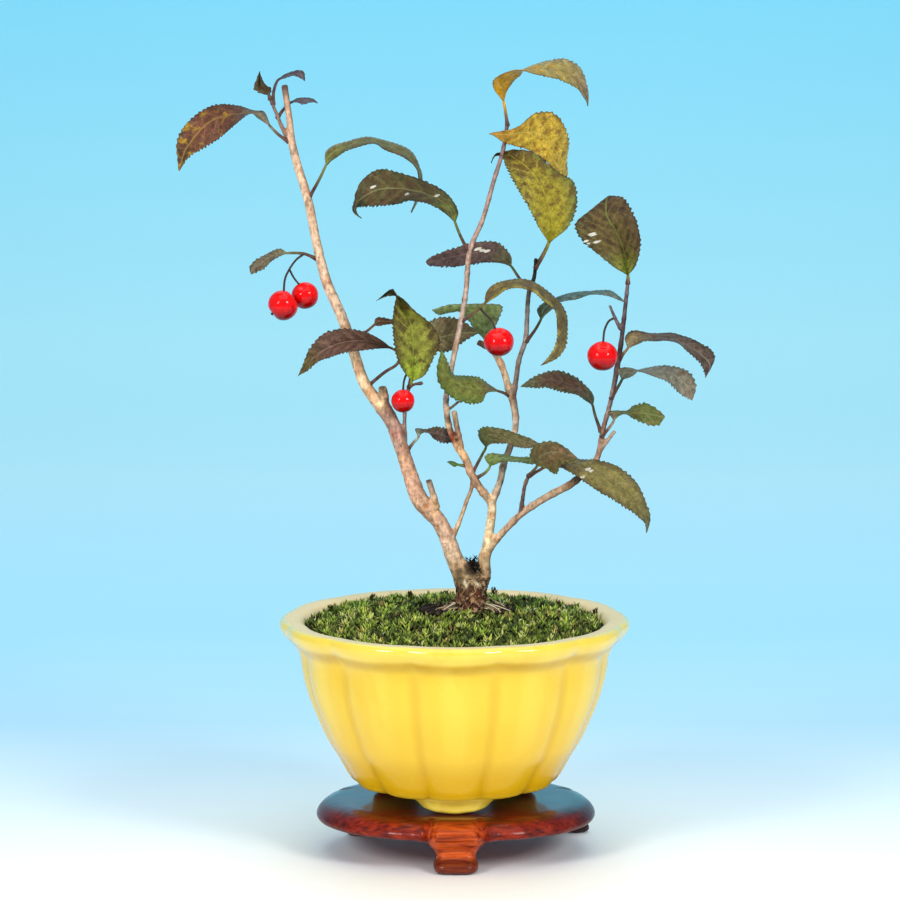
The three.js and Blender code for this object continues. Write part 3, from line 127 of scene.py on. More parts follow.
def enclosed(points, faces):
    """Six times the signed volume inside faces of three or four corners: the sum of the triple products
    of each fan triangle's corners."""
    total = 0.0
    for k in range(1, faces.shape[1] - 1):
        a, b, c = points[faces[:, 0]], points[faces[:, k]], points[faces[:, k + 1]]
        total += np.einsum("ij,ij->", a, np.cross(b, c))
    return total


class Clay:
    """Grids of points gathered into one piece, with values per point for the materials to read."""

    def __init__(self, name):
        self.name = name
        self.count = 0
        self.points, self.quads, self.fans, self.values = [], [], [], []

    def add(self, points, faces, values, fans=None):
        """Adds loose points (n, 3) with quads, and fans of triangles, numbered from this batch's start."""
        shells = [f for f in (faces, fans) if f is not None and len(f)]
        if sum(enclosed(points, f) for f in shells) < 0:
            faces = faces[:, ::-1]
            fans = None if fans is None else fans[:, ::-1]
        self.points.append(points)
        self.quads.append(faces + self.count)
        if fans is not None:
            self.fans.append(fans + self.count)
        self.values.append(values)
        self.count += len(points)

    def grid(self, grid, wrap_rows=False, wrap_columns=False, capped=False, **values):
        """Adds a grid (rows, columns, 3). Capped, its first and last rows close on their own middles."""
        rows, columns = grid.shape[:2]
        points = grid.reshape(-1, 3)
        faces = grid_faces(rows, columns, wrap_rows, wrap_columns)
        flat = {key: np.broadcast_to(v, (rows, columns) + np.shape(v)[2:]).reshape(rows * columns, -1)
                for key, v in values.items()}
        fans = None
        if capped:
            points = np.vstack([points, grid[0].mean(0), grid[-1].mean(0)])
            j = np.arange(columns)
            beside = (j + 1) % columns
            last = (rows - 1) * columns
            hub = rows * columns
            fans = np.vstack([np.stack([np.full(columns, hub), beside, j], -1),
                              np.stack([np.full(columns, hub + 1), last + j, last + beside], -1)])
            flat = {key: np.vstack([v, v[:1], v[-1:]]) for key, v in flat.items()}
        self.add(points, faces, flat, fans)

    def solid(self, rings, **values):
        """Adds closed rings as one solid body, capped at both ends."""
        self.grid(rings, wrap_columns=True, capped=True, **values)

    def mesh(self):
        """The Blender mesh, in metres, with one attribute for each value."""
        points = np.vstack(self.points) * MM
        quads = np.vstack(self.quads)
        fans = np.vstack(self.fans) if self.fans else np.zeros((0, 3), int)
        corners = np.concatenate([quads.ravel(), fans.ravel()])
        starts = np.concatenate([np.arange(len(quads)) * 4, len(quads) * 4 + np.arange(len(fans)) * 3])
        mesh = bpy.data.meshes.new(self.name)
        mesh.vertices.add(len(points))
        mesh.vertices.foreach_set("co", points.ravel())
        mesh.loops.add(len(corners))
        mesh.loops.foreach_set("vertex_index", corners)
        mesh.polygons.add(len(starts))
        mesh.polygons.foreach_set("loop_start", starts)
        mesh.update(calc_edges=True)
        mesh.validate()
        mesh.shade_smooth()
        for key in self.values[0]:
            store(mesh, key, np.vstack([v[key] for v in self.values]))
        return mesh


def store(mesh, key, values):
    """Writes one value per point into the mesh: one number, three of a vector or four of a colour."""
    kind, field = {1: ("FLOAT", "value"), 3: ("FLOAT_VECTOR", "vector"),
                   4: ("FLOAT_COLOR", "color")}[values.shape[1]]
    mesh.attributes.new(key, kind, "POINT").data.foreach_set(field, values.astype(np.float32).ravel())


print("grids of points are ready to be gathered")

# %% A piece placed in the scene


def place(name, mesh, material, slot, *nodes):
    """Makes the piece's object, paints it, lets it ride with the root of the frame and hides the solids it
    stands for.
    """
    piece = bpy.data.objects.new(name, mesh)
    mesh.materials.append(material)
    bpy.context.scene.collection.objects.link(piece)
    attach(piece, "root")
    if nodes:
        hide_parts(*nodes)
    mesh.calc_loop_triangles()
    print(f"{name}: {len(mesh.loop_triangles)} triangles")


print("pieces will ride with the root of the frame")

# %% Colours and soft steps


def colour(code):
    """A colour written as six digits on a screen, as the light values that Blender mixes, and 1."""
    parts = np.array([int(code[k:k + 2], 16) / 255 for k in (0, 2, 4)])
    light = np.where(parts <= 0.04045, parts / 12.92, ((parts + 0.055) / 1.055) ** 2.4)
    return np.append(light, 1.0)


def colours(codes):
    """The colours of codes that are written in one string."""
    return np.array([colour(code) for code in codes.split()])


def smooth_step(x):
    """0 below 0, 1 above 1, and an S between: three x squared less two x cubed."""
    x = np.clip(x, 0, 1)
    return x * x * (3 - 2 * x)


print("mid grey is", np.round(colour("808080"), 3))

# %% Curves through given points
FINE = 40  # stations worked out between two given points, before they are spaced evenly


def full_turn(sides):
    """Angles that step evenly once round."""
    return np.linspace(0, 2 * np.pi, sides, endpoint=False)


def curve_at(points, t):
    """Points of a smooth curve through the given ones, at values of t from 0 to 1 (a centripetal spline).

    Knots lie the square root of the distance apart. On each span the curve is the cubic that leaves and
    arrives with the slopes of parabolas through its neighbours."""
    points = np.asarray(points, float)
    ends = np.vstack([2 * points[0] - points[1], points, 2 * points[-1] - points[-2]])
    spans = len(points) - 1
    k = np.clip(np.floor(t * spans).astype(int), 0, spans - 1)
    w = (t * spans - k)[:, None]
    p0, p1, p2, p3 = ends[k], ends[k + 1], ends[k + 2], ends[k + 3]
    d0, d1, d2 = (np.sqrt(np.maximum(np.linalg.norm(b - a, axis=1), 1e-8))[:, None]
                  for a, b in ((p0, p1), (p1, p2), (p2, p3)))
    leave = ((p1 - p0) / d0 - (p2 - p0) / (d0 + d1) + (p2 - p1) / d1) * d1
    arrive = ((p2 - p1) / d1 - (p3 - p1) / (d1 + d2) + (p3 - p2) / d2) * d1
    return p1 + leave * w + (-3 * p1 + 3 * p2 - 2 * leave - arrive) * w ** 2 \
        + (2 * p1 - 2 * p2 + leave + arrive) * w ** 3


def even_t(points, count):
    """count values of t that step evenly along the curve's own length, and that length."""
    t = np.linspace(0, 1, FINE * (len(points) - 1) + 1)
    steps = np.linalg.norm(np.diff(curve_at(points, t), axis=0), axis=1)
    length = np.concatenate([[0], np.cumsum(steps)])
    return np.interp(np.linspace(0, length[-1], count), length, t), length[-1]


def stations(points, spacing, least):
    """Values of t that step by about the spacing along the curve, at least a given number, and its length."""
    _, length = even_t(points, 2)
    return even_t(points, max(least, round(length / spacing)))


def tube(line, radii, sides):
    """A grid of rings round a line (n, 3): each ring is the circle of its radius that stands across the line.

    Ring directions come from the cross product of the line's direction with the direction in which the
    whole line varies least, so no ring twists against the next."""
    ahead = np.gradient(line, axis=0)
    ahead /= np.linalg.norm(ahead, axis=1, keepdims=True)
    least = np.linalg.svd(line - line.mean(0) + 1e-6 * np.eye(3)[np.arange(len(line)) % 3])[2][-1]
    side = np.cross(ahead, least)
    side /= np.maximum(np.linalg.norm(side, axis=1, keepdims=True), 1e-9)
    other = np.cross(ahead, side)
    turn = full_turn(sides)
    ring = side[:, None] * np.cos(turn)[None, :, None] + other[:, None] * np.sin(turn)[None, :, None]
    return line[:, None] + ring * np.asarray(radii)[:, None, None]


print("a curve through three corners is", round(even_t([[0, 0], [10, 0], [10, 10]], 9)[1], 2), "mm long")

# %% [markdown]
# ## Light and floor
# Each fruit in the picture carries two small lights side by side, and the bowl's lip carries the same two.
# They are the mirror images of two soft boxes, one on each side of the viewer. A large soft light from
# above fills the shadows, and a floor of pale paper sweeps up behind into pale blue. A picture wrapped round
# the scene could light it too, but two boxes and a sheet of paper are what such a studio really has.

# %% Two soft boxes and a light from above
PAPER_HALF = 2.6       # metres, half the paper's width
PAPER_FRONT = -2.0
PAPER_BACK = 1.6
PAPER_RISE = 2.6
PAPER_ROWS = 90
TARGET = np.array([AXIS_X * MM, 0.0, 0.16])


def soft_box(name, turn, climb, distance, size, power, tint="ffffff"):
    """A square light that faces the tree: turn degrees to the right of the viewer, climb degrees up."""
    data = bpy.data.lights.new(name, "AREA")
    data.shape, data.size, data.energy = "SQUARE", size, power
    data.color = colour(tint)[:3]
    lamp = bpy.data.objects.new(name, data)
    a, c = math.radians(turn), math.radians(climb)
    away = np.array([math.sin(a) * math.cos(c), -math.cos(a) * math.cos(c), math.sin(c)])
    lamp.location = TARGET + away * distance
    lamp.rotation_euler = (math.pi / 2 - c, 0, a)
    bpy.context.scene.collection.objects.link(lamp)


soft_box("left_box", -40, 25, 1.5, 0.42, 9)
soft_box("right_box", 42, 27, 1.5, 0.42, 10)
soft_box("top_light", 10, 80, 1.5, 1.5, 8.5, "fffdf8")
world = bpy.data.worlds.new("room")
world.use_nodes = True
world.node_tree.nodes["Background"].inputs["Color"].default_value = colour("dcebf5")
world.node_tree.nodes["Background"].inputs["Strength"].default_value = 0.44
bpy.context.scene.world = world
soft_box("paper_light", 180, 62, 1.7, 1.2, 6, "f4fbff")

# %% [markdown]
# ## Finishes as formulas
# A real finish varies: wood has grain, glaze pools in the grooves, bark is freckled. Such variation could
# come from photographed images. Here it comes from noise and from the values on the points, put together
# with the usual signs of arithmetic, so it has no seams and shows the same from every side.

# %% Shader values that add and multiply


class Value:
    """An output of a shader node that can be used in sums and products like a number."""

    def __init__(self, finish, socket):
        self.finish = finish
        self.socket = socket

    def __add__(self, other):
        return self.finish.maths("ADD", self, other)

    def __radd__(self, other):
        return self.finish.maths("ADD", other, self)

    def __sub__(self, other):
        return self.finish.maths("SUBTRACT", self, other)

    def __rsub__(self, other):
        return self.finish.maths("SUBTRACT", other, self)

    def __mul__(self, other):
        return self.finish.maths("MULTIPLY", self, other)

    def __rmul__(self, other):
        return self.finish.maths("MULTIPLY", other, self)

    def __truediv__(self, other):
        return self.finish.maths("DIVIDE", self, other)

    def is_number(self):
        """False for a vector or a colour."""
        return self.socket.type not in ("VECTOR", "RGBA")


print("shader values can be added, subtracted, multiplied and divided")

# %% A material built node by node


class Finish:
    """A material built node by node. Constants go straight into the shader's own sockets."""

    def __init__(self, name, **constants):
        self.material = bpy.data.materials.new(name)
        self.material.use_nodes = True
        self.tree = self.material.node_tree
        self.shader = self.tree.nodes["Principled BSDF"]
        for key, value in constants.items():
            self.shader.inputs[key.replace("_", " ")].default_value = value
        self.place = self.node("TexCoord", output="Object")

    def node(self, kind, settings=(), inputs=(), output=0):
        """Adds a node: its settings are made first, because they decide which sockets it has."""
        made = self.tree.nodes.new("ShaderNode" + kind)
        for key, value in dict(settings).items():
            setattr(made, key, value)
        for key, value in dict(inputs).items():
            self.feed(made.inputs[key], value)
        return Value(self, made.outputs[output])

    def feed(self, target, value):
        """Links a value to a socket, or sets the socket to a constant."""
        if isinstance(value, Value):
            self.tree.links.new(value.socket, target)
        else:
            target.default_value = value

    def maths(self, operation, a, b):
        """Numbers meet in a Math node. Where either is a vector or a colour, they meet in Vector Math."""
        if all(not isinstance(v, Value) or v.is_number() for v in (a, b)) \
                and all(isinstance(v, (Value, int, float)) for v in (a, b)):
            return self.node("Math", {"operation": operation}, {0: a, 1: b})
        a, b = ((v, v, v) if isinstance(v, (int, float)) else v for v in (a, b))
        return self.node("VectorMath", {"operation": operation}, {0: a, 1: b})

    def read(self, key, kind="Fac"):
        """A value stored on the points: a number as Fac, a direction as Vector, a colour as Color."""
        return self.node("Attribute", {"attribute_name": key}, output=kind)

    def noise(self, size, place=None, detail=3.0, rough=0.55, bend=0.0):
        """Cloudy noise from 0 to 1, whose clouds are about size mm across."""
        return self.node("TexNoise", inputs={
            "Vector": place or self.place, "Scale": 1 / (size * MM), "Detail": detail,
            "Roughness": rough, "Distortion": bend})

    def cells(self, size, place=None):
        """The distance to the nearest of scattered points that lie about size mm apart, in cell widths."""
        return self.node("TexVoronoi", inputs={"Vector": place or self.place, "Scale": 1 / (size * MM)},
                         output="Distance")

    def step(self, value, low, high):
        """0 while the value is below low, 1 above high, and a smooth S between. High may be the smaller."""
        if low > high:
            return 1 - self.step(value, high, low)
        return self.node("MapRange", {"interpolation_type": "SMOOTHSTEP"},
                         {"Value": value, "From Min": low, "From Max": high})

    def mix(self, first, second, amount):
        """A colour that goes from the first to the second as the amount goes from 0 to 1."""
        return self.node("Mix", {"data_type": "RGBA"}, {0: amount, 6: first, 7: second}, 2)

    def ramp(self, value, *stops):
        """A colour read from a scale: each stop is the value where it lies and its six digits."""
        made = self.node("ValToRGB", inputs={0: value})
        scale = made.socket.node.color_ramp
        for place, code in stops[2:]:
            scale.elements.new(place)
        for element, (place, code) in zip(scale.elements, sorted(stops)):
            element.position, element.color = place, colour(code)
        return made

    def axis(self, number, place=None):
        """One part of a place, X, Y or Z, as a number."""
        return self.node("SeparateXYZ", inputs={0: place or self.place}, output=number)

    def paint(self, base, roughness=None, bumps=(), **others):
        """Connects the colour, the roughness and the relief: each bump is a height and its depth in mm."""
        self.feed(self.shader.inputs["Base Color"], base)
        if roughness is not None:
            self.feed(self.shader.inputs["Roughness"], roughness)
        normal = None
        for height, depth in bumps:
            inputs = {"Height": height, "Distance": depth * MM, "Strength": 1.0}
            if normal is not None:
                inputs["Normal"] = normal
            normal = self.node("Bump", inputs=inputs)
        if normal is not None:
            self.feed(self.shader.inputs["Normal"], normal)
        for key, value in others.items():
            self.feed(self.shader.inputs[key.replace("_", " ")], value)


print("materials can be written as sums")

# %% The paper sweep
paper = Finish("paper", Roughness=0.75, Specular_IOR_Level=0.25)
back_off = paper.axis("Y")
climbed = paper.axis("Z")
paper.paint(paper.ramp((back_off + climbed + 0.05) / 2, (0.01, "fefdfc"), (0.065, "e6f4fc"), (0.14, "bce4f8"),
                       (0.25, "b2e8fe"), (0.5, "ccf5ff"), (0.7, "c0f5ff"), (0.94, "92e7ff")))

profile = np.array([[PAPER_FRONT, 0], [-1, 0], [0, 0], [0.5, 0], [1.0, 0], [1.25, 0.03], [1.45, 0.13],
                    [1.56, 0.3], [PAPER_BACK, 0.6], [PAPER_BACK, 1.4], [PAPER_BACK, PAPER_RISE]])
carried = curve_at(profile, even_t(profile, PAPER_ROWS)[0])
sheet = np.stack(np.broadcast_arrays([-PAPER_HALF, 0, PAPER_HALF], carried[:, :1],
                                     np.maximum(carried[:, 1:], 0)), -1)
floor_mesh = bpy.data.meshes.new("paper")
floor_mesh.from_pydata(sheet.reshape(-1, 3).tolist(), [], grid_faces(PAPER_ROWS, 3, False, False).tolist())
floor_mesh.shade_smooth()
floor_mesh.materials.append(paper.material)
floor = bpy.data.objects.new("paper", floor_mesh)
bpy.context.scene.collection.objects.link(floor)
print("the paper rises to", PAPER_RISE, "m behind the tree")

# %% [markdown]
# ## The stand
# A carved stand is one block: an oval board whose edge is a soft roll, and three knees that swell under it,
# narrow to an ankle and end in a toe. Two V cuts beside each knee run up the board's edge. The board is a
# profile carried round the oval, each knee is a stack of soft rectangles, and a fine voxel skin melts them
# into one body as the carver's chisel would. Bevels on joined boxes could come near it, but would leave
# straight lines where the real one has none.

# %% The board's outline and profile
STAND_X = AXIS_X + 0.5
STAND_TOP = 19.5
BOARD_UNDER = 12.1
BOARD_RADII = [44.4, 45, 47.4, 51, 52.4, 52.2, 51.4, 49, 46.6, 45.2, 44.8]  # every 18 degrees, front to back
LEG_TURNS = [0.0, 2 * math.pi / 3, -2 * math.pi / 3]
RING_SIDES = 96         # points round a knee or a foot
GROOVE_OFFSET = 8.5
GROOVE_LEAN = 0.26      # the cuts run apart on their way down
GROOVE_HALF = 2.9
GROOVE_DEPTH = 3.3
BOARD_SIDES = 720
BOARD_SECTION = np.array([  # out from the board's edge, height
    [-44, 12.3], [-30, 12.3], [-12, 12.1], [-3, 12.1], [-1.3, 12.3], [-0.4, 12.9], [0, 13.7], [-0.2, 14.6],
    [-0.9, 15.8], [-2.1, 17.1], [-3.8, 18.3], [-6, 19.1], [-9, 19.5], [-18, 19.5], [-30, 19.5], [-44, 19.5]])


def round_axis(axis_x, angle, radius, height):
    """Points on rings round an upright axis: the sine to the right, the cosine towards the viewer."""
    return np.stack([axis_x + np.sin(angle) * radius, -np.cos(angle) * radius,
                     np.broadcast_to(height, radius.shape)], -1)


def board_radius(angle):
    """The oval's radius: a smooth line through the radii that were measured every 18 degrees."""
    folded = np.abs((angle + np.pi) % (2 * np.pi) - np.pi)
    knots = np.linspace(0, np.pi, len(BOARD_RADII))
    pad = np.concatenate([BOARD_RADII[2:0:-1], BOARD_RADII, BOARD_RADII[-2:-4:-1]])
    steps = (np.arange(len(pad)) - 2) * knots[1]
    weight = np.exp(-((folded[..., None] - steps) / (knots[1] * 0.62)) ** 2)
    return (weight * pad).sum(-1) / weight.sum(-1)


board_angle = full_turn(BOARD_SIDES)
board_line = curve_at(BOARD_SECTION, even_t(BOARD_SECTION, 150)[0])
outline = board_radius(board_angle)
board_grid = round_axis(STAND_X, board_angle, np.maximum(outline + board_line[:, :1], 0.6),
                        np.clip(board_line[:, 1:], BOARD_UNDER, STAND_TOP))
print("board", round(2 * float(outline[BOARD_SIDES // 4]), 1), "mm wide")

# %% Three knees
KNEE_LEVELS = np.array([  # height, front and back from the axis, half width
    [0.0, 42.6, 33.4, 6.4], [0.7, 44.2, 32.2, 7.6], [1.9, 45.0, 31.2, 8.2], [3.2, 44.9, 31.0, 8.2],
    [4.6, 43.3, 30.5, 7.6], [6.4, 41.6, 30.0, 7.3], [8.6, 41.5, 29.5, 8.5], [10.6, 42.5, 29.0, 11.4],
    [12.2, 43.1, 28.5, 16.0], [14.0, 42.6, 28.5, 22.0]])
KNEE_TOP = 14.0
KNEE_SPLAYS = [0.0, 13.0, 2.0]  # the back knees run out further at the toe
KNEE_POWER = 3.4


def faced(axis_x, x, y, height, turn):
    """A shape drawn with x to the right and y towards the viewer, turned about the upright axis."""
    return np.stack([axis_x + x * math.cos(turn) + y * math.sin(turn),
                     x * math.sin(turn) - y * math.cos(turn), np.broadcast_to(height, x.shape)], -1)


def knee(turn, splay):
    """A stack of soft rectangles, each the curve |x/a|^p + |y/b|^p = 1, turned about the axis."""
    level = curve_at(KNEE_LEVELS, even_t(KNEE_LEVELS, 60)[0])
    height, front, back, half = (level[:, k:k + 1] for k in range(4))
    height = np.clip(height, 0, KNEE_TOP)
    angle = full_turn(RING_SIDES)
    c, s = np.cos(angle), np.sin(angle)
    out = splay * (1 - height / (2 * KNEE_TOP))
    slim = 1 if turn == 0 else 0.6 + 0.4 * height / KNEE_TOP
    deep = (front - back) / 2 * slim
    x = half * slim * np.sign(s) * np.abs(s) ** (2 / KNEE_POWER)
    y = front - deep + out + deep * np.sign(c) * np.abs(c) ** (2 / KNEE_POWER)
    return faced(STAND_X, x, y, height, turn)


print("a knee is at most", 2 * KNEE_LEVELS[:, 3].max(), "mm wide")

# %% Overlapping bodies become one skin


def joined(clay, voxel, rubs, share=0.5):
    """The clay's overlapping bodies skinned as one, with a fine mesh, and rubbed smooth."""
    body = bpy.data.objects.new("raw", clay.mesh())
    bpy.context.scene.collection.objects.link(body)
    skin = body.modifiers.new("skin", "REMESH")
    skin.mode = "VOXEL"
    skin.voxel_size = voxel * MM
    rub = body.modifiers.new("rub", "SMOOTH")
    rub.factor = share
    rub.iterations = rubs
    baked = bpy.data.meshes.new_from_object(body.evaluated_get(bpy.context.evaluated_depsgraph_get()))
    bpy.data.objects.remove(body)
    baked.materials.clear()
    baked.shade_smooth()
    return baked


def points_of(mesh):
    """The mesh's points in millimetres."""
    flat = np.empty(len(mesh.vertices) * 3)
    mesh.vertices.foreach_get("co", flat)
    return flat.reshape(-1, 3) / MM


def move_points(mesh, points):
    """Puts the mesh's points at places given in millimetres."""
    mesh.vertices.foreach_set("co", (points * MM).ravel())
    mesh.update()
    return mesh


stand_clay = Clay("stand_body")
for body in [board_grid, *(knee(turn, splay) for turn, splay in zip(LEG_TURNS, KNEE_SPLAYS))]:
    stand_clay.solid(body)
stand_mesh = joined(stand_clay, 0.55, 3)
print("stand skin of", len(stand_mesh.polygons), "faces")

# %% Grooves beside the knees


def cut_grooves(mesh):
    """Presses the V cuts into the skin beside each knee: deepest on their lines, rounded at their edges."""
    points = points_of(mesh)
    east, north, level = points[:, 0] - STAND_X, points[:, 1], points[:, 2]
    for turn in LEG_TURNS:
        side = east * math.cos(turn) + north * math.sin(turn)
        ahead = east * math.sin(turn) - north * math.cos(turn)
        line = GROOVE_OFFSET + GROOVE_LEAN * (STAND_TOP - level)
        inside = np.clip(1 - np.abs(np.abs(side) - line) / GROOVE_HALF, 0, 1) ** 1.2
        cut = GROOVE_DEPTH * inside * smooth_step((ahead - 32) / 7) * smooth_step((level - 8.5) / 2.5)
        points[:, 0] -= cut * math.sin(turn)
        points[:, 1] += cut * math.cos(turn)
    return move_points(mesh, points)


def keep_within(mesh, node):
    """Brings points that stand outside the node's own box back onto its sides."""
    low, high = (np.array(corner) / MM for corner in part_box(node))
    return move_points(mesh, np.clip(points_of(mesh), low, high))


keep_within(cut_grooves(stand_mesh), "stand")
print("the stand is", np.round(np.ptp(points_of(stand_mesh), axis=0), 1), "mm")

# %% [markdown]
# The wood is dark red under a thick clear lacquer. Its grain runs from left to right along the board: long
# streaks, drawn by stretching noise, from nearly black to a warm red. The lacquer is a coat with its own
# fine mirror, which is why the two soft boxes and the blue paper stand in it so clearly.

# %% Lacquered wood
wood = Finish("lacquered_wood", Coat_Weight=0.75, Coat_Roughness=0.05, Coat_IOR=1.45, Specular_IOR_Level=0.12)
along_grain = wood.place * (0.09, 1.0, 1.0)
streaks = wood.noise(1.5, along_grain, 5, 0.6, 0.35)
pores = wood.noise(0.5, wood.place * (0.1, 1.0, 1.0), 2, 0.7)
clouds = wood.noise(16, detail=2)
tone = wood.ramp(streaks * 0.7 + clouds * 0.3, (0.3, "360606"), (0.44, "681406"), (0.54, "8c2208"),
                 (0.68, "b4380e"))
forward = wood.axis("Y") / MM
level = wood.axis("Z") / MM
sideways = wood.axis("X") / MM - STAND_X
on_knee = wood.step(forward, -34, -41) * wood.step(sideways * sideways, 150, 40)
tone = wood.mix(tone, wood.ramp(streaks, (0.32, "6a1c06"), (0.46, "b3430d"), (0.62, "e0601c")), on_knee * 0.9)
tone = wood.mix(tone, colour("3c140b"), wood.step(level, 6.8, 4.6) * 0.75)
# Painted shade: both ends of the board are darkened, and the right end darker still.
painted_shade_ends = wood.step(sideways * sideways, 1400, 2500)
tone = wood.mix(tone, tone * (0.35, 0.25, 0.4), painted_shade_ends * 0.85)
painted_shade_right_end = wood.step(sideways, 22, 42)
tone = wood.mix(tone, tone * (0.55, 0.4, 0.5), painted_shade_right_end * 0.8)
tone = wood.mix(tone, colour("1f0604"), wood.step(pores, 0.6, 0.75) * 0.55)
# Painted shade: the top of the board is painted darker. The same mask gives the top a thicker coat.
on_top = wood.step(level, 17.2, 19.0)
tone = wood.mix(tone, tone * (0.5, 0.42, 0.5), on_top)
wood.paint(tone, 0.32 + clouds * 0.15, [(streaks, 0.05), (pores, 0.02)], Coat_Weight=0.34 + on_top * 0.5)
place("stand_wood", stand_mesh, wood.material, "wood", "stand")

# %% [markdown]
# ## The bowl
# A lobed bowl is thrown round and then pressed into twelve lobes. Seen from above, its wall is a circle less
# a cusp at each groove, the square root of a cosine. The profile is carried all the way: from the drain
# hole, out under the bowl, up the wall, over the rolled lip, down inside and back to the hole, so it is one
# closed skin. Twelve separate segments could be welded instead, but the lip would show the joins.

# %% The bowl's closed profile
LOBES = 12
LOBE_STATIONS = 26
PROFILE_STATIONS = 170
LIP_WAVE = 0.55          # mm by which the lip's lower edge sags in the middle of a lobe
CUSP_SOFTNESS = 0.012
OUTER = [  # radius, height, depth of the groove
    [7.0, 25.5, 0], [16, 25.5, 0], [26, 25.5, 1.2], [32.6, 25.5, 2.6], [36.0, 25.8, 3.3], [38.2, 26.8, 3.4],
    [39.8, 28.8, 3.1], [43.5, 35.5, 2.3], [47.7, 42.5, 1.8], [51, 49.8, 1.8], [53.9, 57, 1.8],
    [56, 64.2, 1.9], [57.1, 70, 2.0], [57.5, 73.6, 2.0], [58.5, 76.4, 2.0], [60.9, 79.4, 2.0],
    [63.6, 82, 2.0], [64.9, 84, 2.0], [65.25, 85.4, 2.0], [64.9, 86.7, 1.9], [63.6, 87.5, 1.7]]
INNER = [
    [61.6, 87.6, 1.3], [59.3, 87.5, 1.2], [57.3, 86.9, 1.1], [56.0, 85.4, 0.9], [55.0, 82, 0.8],
    [53.6, 78, 0.7], [51.4, 64.2, 0.6], [46.4, 49.8, 0.5], [39.4, 37, 0.4], [35, 33, 0.2], [30, 31.1, 0],
    [16, 31.1, 0], [7.0, 31.1, 0], [7.0, 28.5, 0]]
POT_FLOOR = 25.5
RIM_TOP = 87.6
FOOT_LEVELS = np.array([  # height, half width, inset
    [19.8, 10.2, 0.9], [20.1, 11.2, 0.2], [20.8, 12.2, -0.3], [22.4, 13.4, -0.2], [24.6, 15.4, 0.2],
    [26.9, 18.2, 0.2]])
FOOT_FRONT = 31.2
FOOT_BACK = 20.0


def bulge(angle):
    """1 in the middle of a lobe and 0 in a groove, whose sharp bottom is filled as the glaze fills it."""
    return ((np.cos(angle * LOBES / 2) ** 2 + CUSP_SOFTNESS) / (1 + CUSP_SOFTNESS)) ** 0.25


profile = np.array(OUTER + INNER)
t_pot, _ = even_t(profile, PROFILE_STATIONS)
carried = curve_at(profile, t_pot)
station = np.arange(PROFILE_STATIONS)[:, None]
pot_angle = full_turn(LOBES * LOBE_STATIONS)
lobe = bulge(pot_angle)
height = np.clip(carried[:, 1:2], POT_FLOOR, RIM_TOP)
at_lip = smooth_step((height - 71) / 6) * smooth_step((86.5 - height) / 5) * (station < 100)
pot_grid = round_axis(AXIS_X, pot_angle, carried[:, :1] - carried[:, 2:] * (1 - lobe),
                      height - LIP_WAVE * at_lip * (lobe - 0.75) * 2)
inside = station > t_pot.searchsorted((len(OUTER) - 1.0) / (len(profile) - 1))
pot = Clay("bowl")
pot.grid(pot_grid, wrap_rows=True, wrap_columns=True, lobe=lobe[None, :, None], inside=inside[..., None])
print(f"bowl {np.ptp(pot_grid[..., 0]):.1f} mm across, its rim {pot_grid[..., 2].max():.1f} mm high")

# %% Three cloud feet


def foot(turn):
    """A low cloud: rings whose front edge waves in three small lobes, wider where they meet the bowl."""
    level = curve_at(FOOT_LEVELS, even_t(FOOT_LEVELS, 26)[0])
    height, half, inset = (level[:, k:k + 1] for k in range(3))
    angle = full_turn(RING_SIDES)
    c, s = np.cos(angle), np.sin(angle)
    front, back = FOOT_FRONT - inset, FOOT_BACK + inset
    wave = 0.35 * np.cos(3 * np.pi * np.clip(s, -1, 1)) * np.clip(c, 0, 1)
    x = half * np.sign(s) * np.abs(s) ** 0.8
    y = (front + back) / 2 + ((front - back) / 2 + wave) * c
    low, high = FOOT_LEVELS[0, 0], FOOT_LEVELS[-1, 0]
    height = np.clip(height, low, high)
    height = height + 1.3 * (x / half) ** 2 * (1 - (height - low) / (high - low))
    return faced(AXIS_X, x, y, height, turn)


for turn in LEG_TURNS:
    pot.solid(foot(turn), lobe=np.ones((1, 1, 1)), inside=np.zeros((1, 1, 1)))
print("each foot is", 2 * FOOT_LEVELS[0, 1], "mm wide where it stands")

# %% The glaze
glaze = Finish("yellow_glaze", Coat_Weight=0.3, Coat_Roughness=0.05, Coat_IOR=1.5, IOR=1.4,
               Specular_IOR_Level=0.35)
up = glaze.axis("Z") / MM
lobe_fill = glaze.read("lobe")
streak = glaze.noise(9, glaze.place * (1, 1, 0.35), 4, 0.55, 0.4)
speck = glaze.noise(1.6, detail=4)
# Painted light and shade in the colour by height: the foot is painted brighter, as if lit from the floor, and
# the lowest band of the wall darker, a painted reflection of the dark stand.
body = glaze.ramp((up - 20) / 70, (0.0, "ffe45c"), (0.08, "ffd93c"), (0.12, "e2ae10"), (0.2, "e2b00c"),
                  (0.33, "f4c636"), (0.62, "f8d03e"), (0.8, "f6cc38"), (0.99, "f8da50"))
body = glaze.mix(body, colour("fedc50"), glaze.step(lobe_fill, 0.88, 1.0) * glaze.step(up, 34, 60) * 0.5)
body = glaze.mix(body, colour("cf9604"), glaze.step(lobe_fill, 0.62, 0.34) * glaze.step(up, 80, 70) * 0.3)
body = glaze.mix(body, colour("efbc0c"), glaze.step(streak, 0.5, 0.75) * 0.3)
body = glaze.mix(body, colour("ffe860"), glaze.step(speck, 0.58, 0.75) * 0.2)
